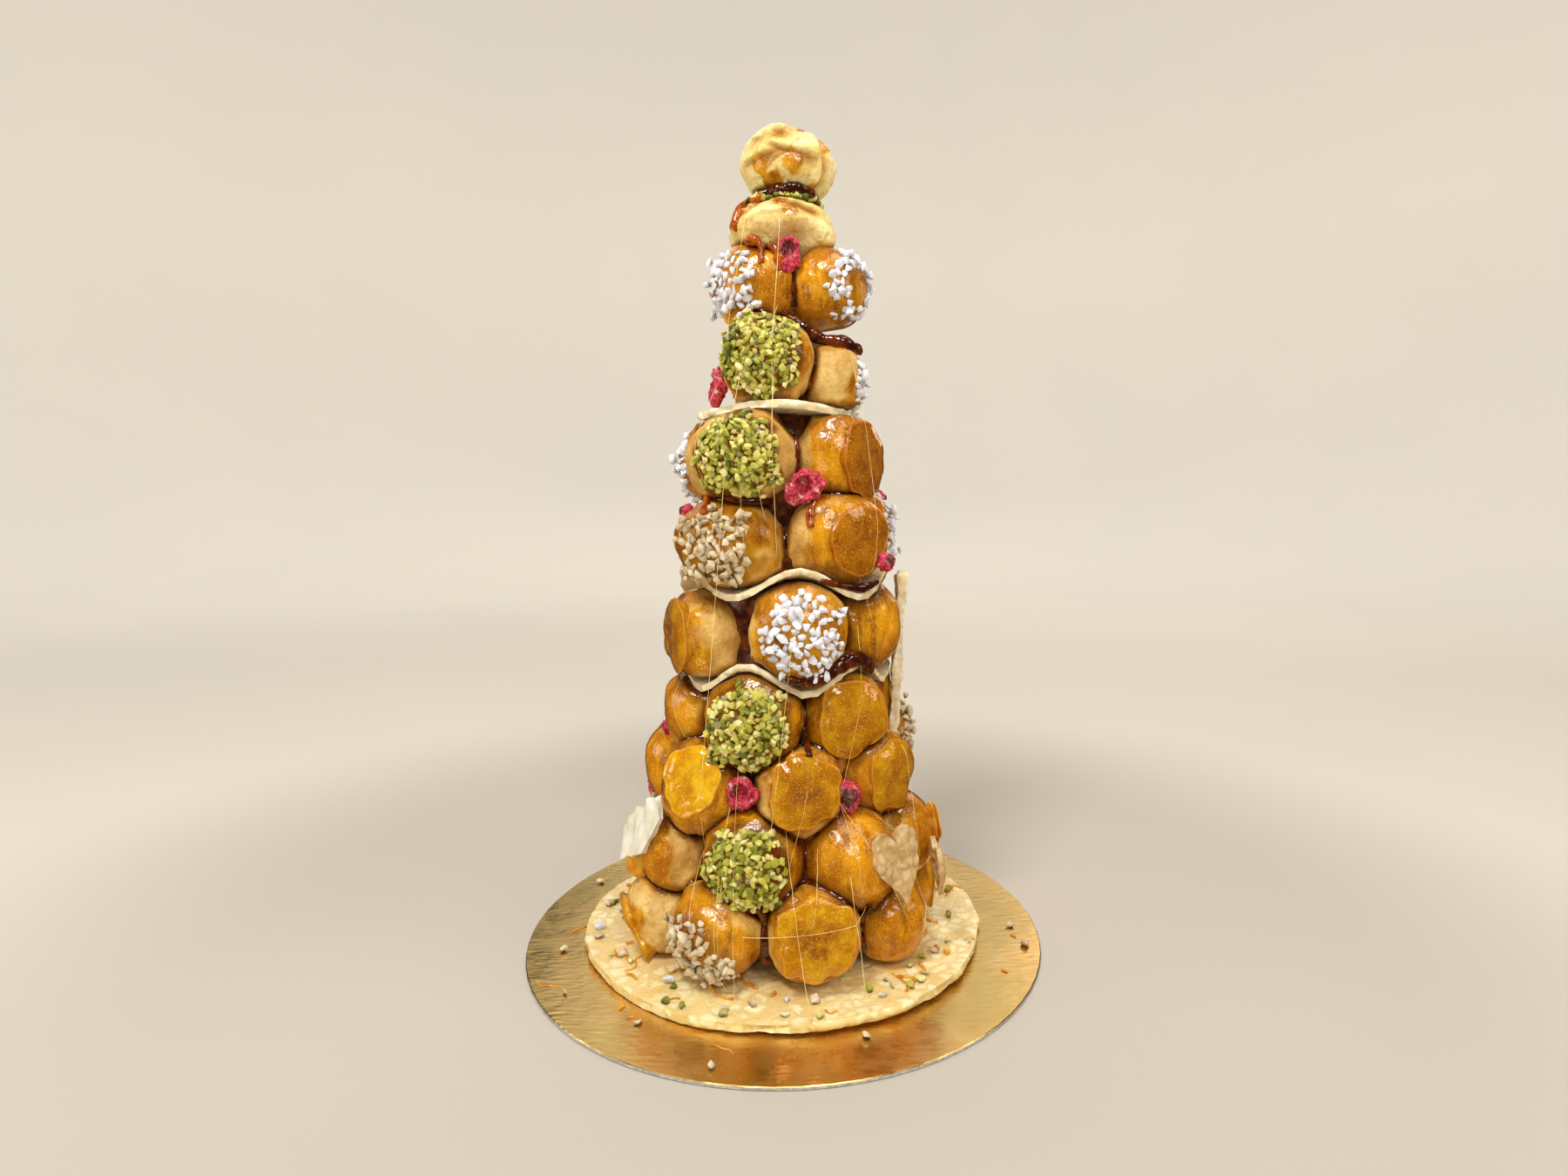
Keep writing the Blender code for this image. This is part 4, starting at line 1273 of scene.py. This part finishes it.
def surround(look):
    """A round floor whose far edge turns up into a plain backdrop, which glossy things don't mirror."""
    bend = np.linspace(0.1, math.pi / 2, 12)
    profile = [(0.6, 0), (1.2, 0), (1.6, 0)]
    profile += [(1.6 + 1.1 * math.sin(a), 1.1 - 1.1 * math.cos(a)) for a in bend]
    profile += [(2.7, 2.3)]
    segments = 96
    points = [Vector((0, 0, 0))]
    for radius, height in profile:
        points += [outward(360 * k / segments) * radius + UP * height for k in range(segments)]
    mesh = bpy.data.meshes.new("surround")
    # The form stays open at its top edge
    mesh.from_pydata(points, [], lathe_faces(len(profile), segments)[:-segments])
    mesh.shade_smooth()
    mesh.materials.append(look)
    made = bpy.data.objects.new("surround", mesh)
    bpy.context.scene.collection.objects.link(made)
    made.visible_glossy = False


def area_light(name, place, size, power, colour):
    """A square soft box that looks at the middle of the tower."""
    light = bpy.data.lights.new(name, "AREA")
    light.size = size
    light.energy = power
    light.color = colour
    made = bpy.data.objects.new(name, light)
    made.location = place
    made.rotation_euler = (TOWER_MIDDLE - made.location).to_track_quat("-Z", "Y").to_euler()
    made.visible_camera = False
    bpy.context.scene.collection.objects.link(made)


def studio():
    """Camera, soft boxes and a faint even sky."""
    for name, light in LIGHTS.items():
        area_light(name, *light)
    world = bpy.data.worlds.new("sky")
    world.use_nodes = True
    sky = world.node_tree.nodes["Background"]
    sky.inputs["Color"].default_value = (1.0, 0.99, 0.97, 1.0)
    sky.inputs["Strength"].default_value = SKY_STRENGTH
    bpy.context.scene.world = world
    lens = bpy.data.cameras.new("camera")
    lens.lens = CAMERA_LENS
    lens.shift_x = CAMERA_SHIFT
    lens.clip_start = 0.01
    camera = bpy.data.objects.new("camera", lens)
    camera.location = CAMERA_PLACE
    camera.rotation_euler = (math.radians(90 - CAMERA_DOWN), 0, 0)
    bpy.context.scene.collection.objects.link(camera)
    bpy.context.scene.camera = camera
    bpy.context.scene.view_settings.view_transform = "Standard"


def sugar_paints():
    """The plain caramels and sugars by name."""
    return {
        "dark": sugar_paint(
            "dark_caramel", 0.6, 0.2, (srgb(58, 18, 4), srgb(112, 44, 5)), (6, 3, 0.4, 0.62),
            (3, 2, 0.04, 0.12), (3, 2, 0.2), 1.5,
        ),
        # Painted shade: the dark inside of the tower
        "inside": sugar_paint(
            "inside_caramel", 0.3, 0.0, (srgb(58, 24, 7), srgb(112, 54, 14)), (6, 3, 0.4, 0.62),
            (3, 2, 0.1, 0.3), (3, 3, 0.4), 1.5,
        ),
        "amber": sugar_paint(
            "amber_caramel", 0.6, 0.3, (srgb(250, 190, 70), srgb(222, 142, 30)), (5, 3, 0.4, 0.62),
            (3, 2, 0.04, 0.14), (2, 2, 0.15),
        ),
        "red": sugar_paint(
            "red_caramel", 0.6, 0.3, (srgb(206, 104, 18), srgb(140, 54, 6)), (5, 3, 0.4, 0.62),
            (3, 2, 0.04, 0.14), (2, 2, 0.15),
        ),
        "spun": sugar_paint(
            "spun_sugar", 0.7, 0.0, (srgb(255, 236, 170), srgb(244, 196, 84)), (12, 2, 0.35, 0.65),
            (4, 2, 0.08, 0.2), (0.6, 2, 0.03),
        ),
        "pulled": sugar_paint(
            "sugar_shard", 0.6, 0.2, (srgb(252, 250, 236), srgb(240, 232, 200)), (6, 3, 0.35, 0.65),
            (4, 3, 0.08, 0.24), (3, 2, 0.25),
        ),
    }


def nougatine_paints():
    """The paint of each nougatine piece."""
    cream = nougatine_paint(
        "nougatine_cream",
        (srgb(240, 213, 144), srgb(230, 198, 124)), (srgb(253, 244, 200), srgb(248, 232, 172)),
    )
    clear = nougatine_paint(
        "nougatine_clear",
        (srgb(232, 212, 166), srgb(214, 188, 138)), (srgb(248, 236, 206), srgb(234, 216, 174)),
    )
    pale = nougatine_paint(
        "nougatine_pale",
        (srgb(242, 230, 190), srgb(226, 208, 160)), (srgb(252, 246, 222), srgb(242, 230, 196)),
    )
    # The hearts stand upright: their nougatine is painted darker and browner than the plates, as the shade on
    # them
    tan = nougatine_paint(
        "nougatine_tan",
        (srgb(204, 170, 114), srgb(188, 152, 98)), (srgb(224, 198, 152), srgb(204, 172, 122)), 5,
    )
    return {"base": cream, "plate_low": clear, "plate_mid": clear, "plate_high": pale, "plate_top": pale,
            "panel": pale, "heart": tan}


def main():
    nodes = sorted(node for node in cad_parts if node.startswith("choux"))
    plates = sorted(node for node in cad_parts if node.startswith("nougatine_plate"))
    ball, fine_ball, rough_ball = even_ball(BALL_CUTS), even_ball(FINE_CUTS), even_ball(FRUIT_CUTS)
    dough, sugars, creams = choux_paint(), sugar_paints(), nougatine_paints()
    names = [node.removeprefix("choux_") for node in nodes]
    puffs = [choux_skin(name, fine_ball if name in FOLDS else ball, dough, nodes + plates) for name in names]
    caps = caramel_caps(puffs, cap_paint())
    trees = nougatine(creams)
    foil = card(foil_paint())
    toppings(puffs, trees["base"], foil)
    glue = caramel_between(puffs, ball, sugars["dark"])
    inner_wall(puffs, sugars["inside"])
    outside = [puff.tree for puff in puffs] + caps + [glue] + list(trees.values())
    dried_fruit(fruit_paint(), rough_ball, outside)
    shard(sugars["pulled"])
    side_heart(creams["heart"])
    caramel_runs("caramel_runs", CARAMEL_RUNS, outside, sugars["dark"])
    caramel_runs("amber_runs", AMBER_RUNS, outside, sugars["red"])
    amber_sheets(outside, sugars["amber"])
    drops_and_squiggles(trees["base"], foil, sugars["amber"])
    spun_sugar(outside, sugars["spun"])
    surround(floor_paint())
    studio()


main()
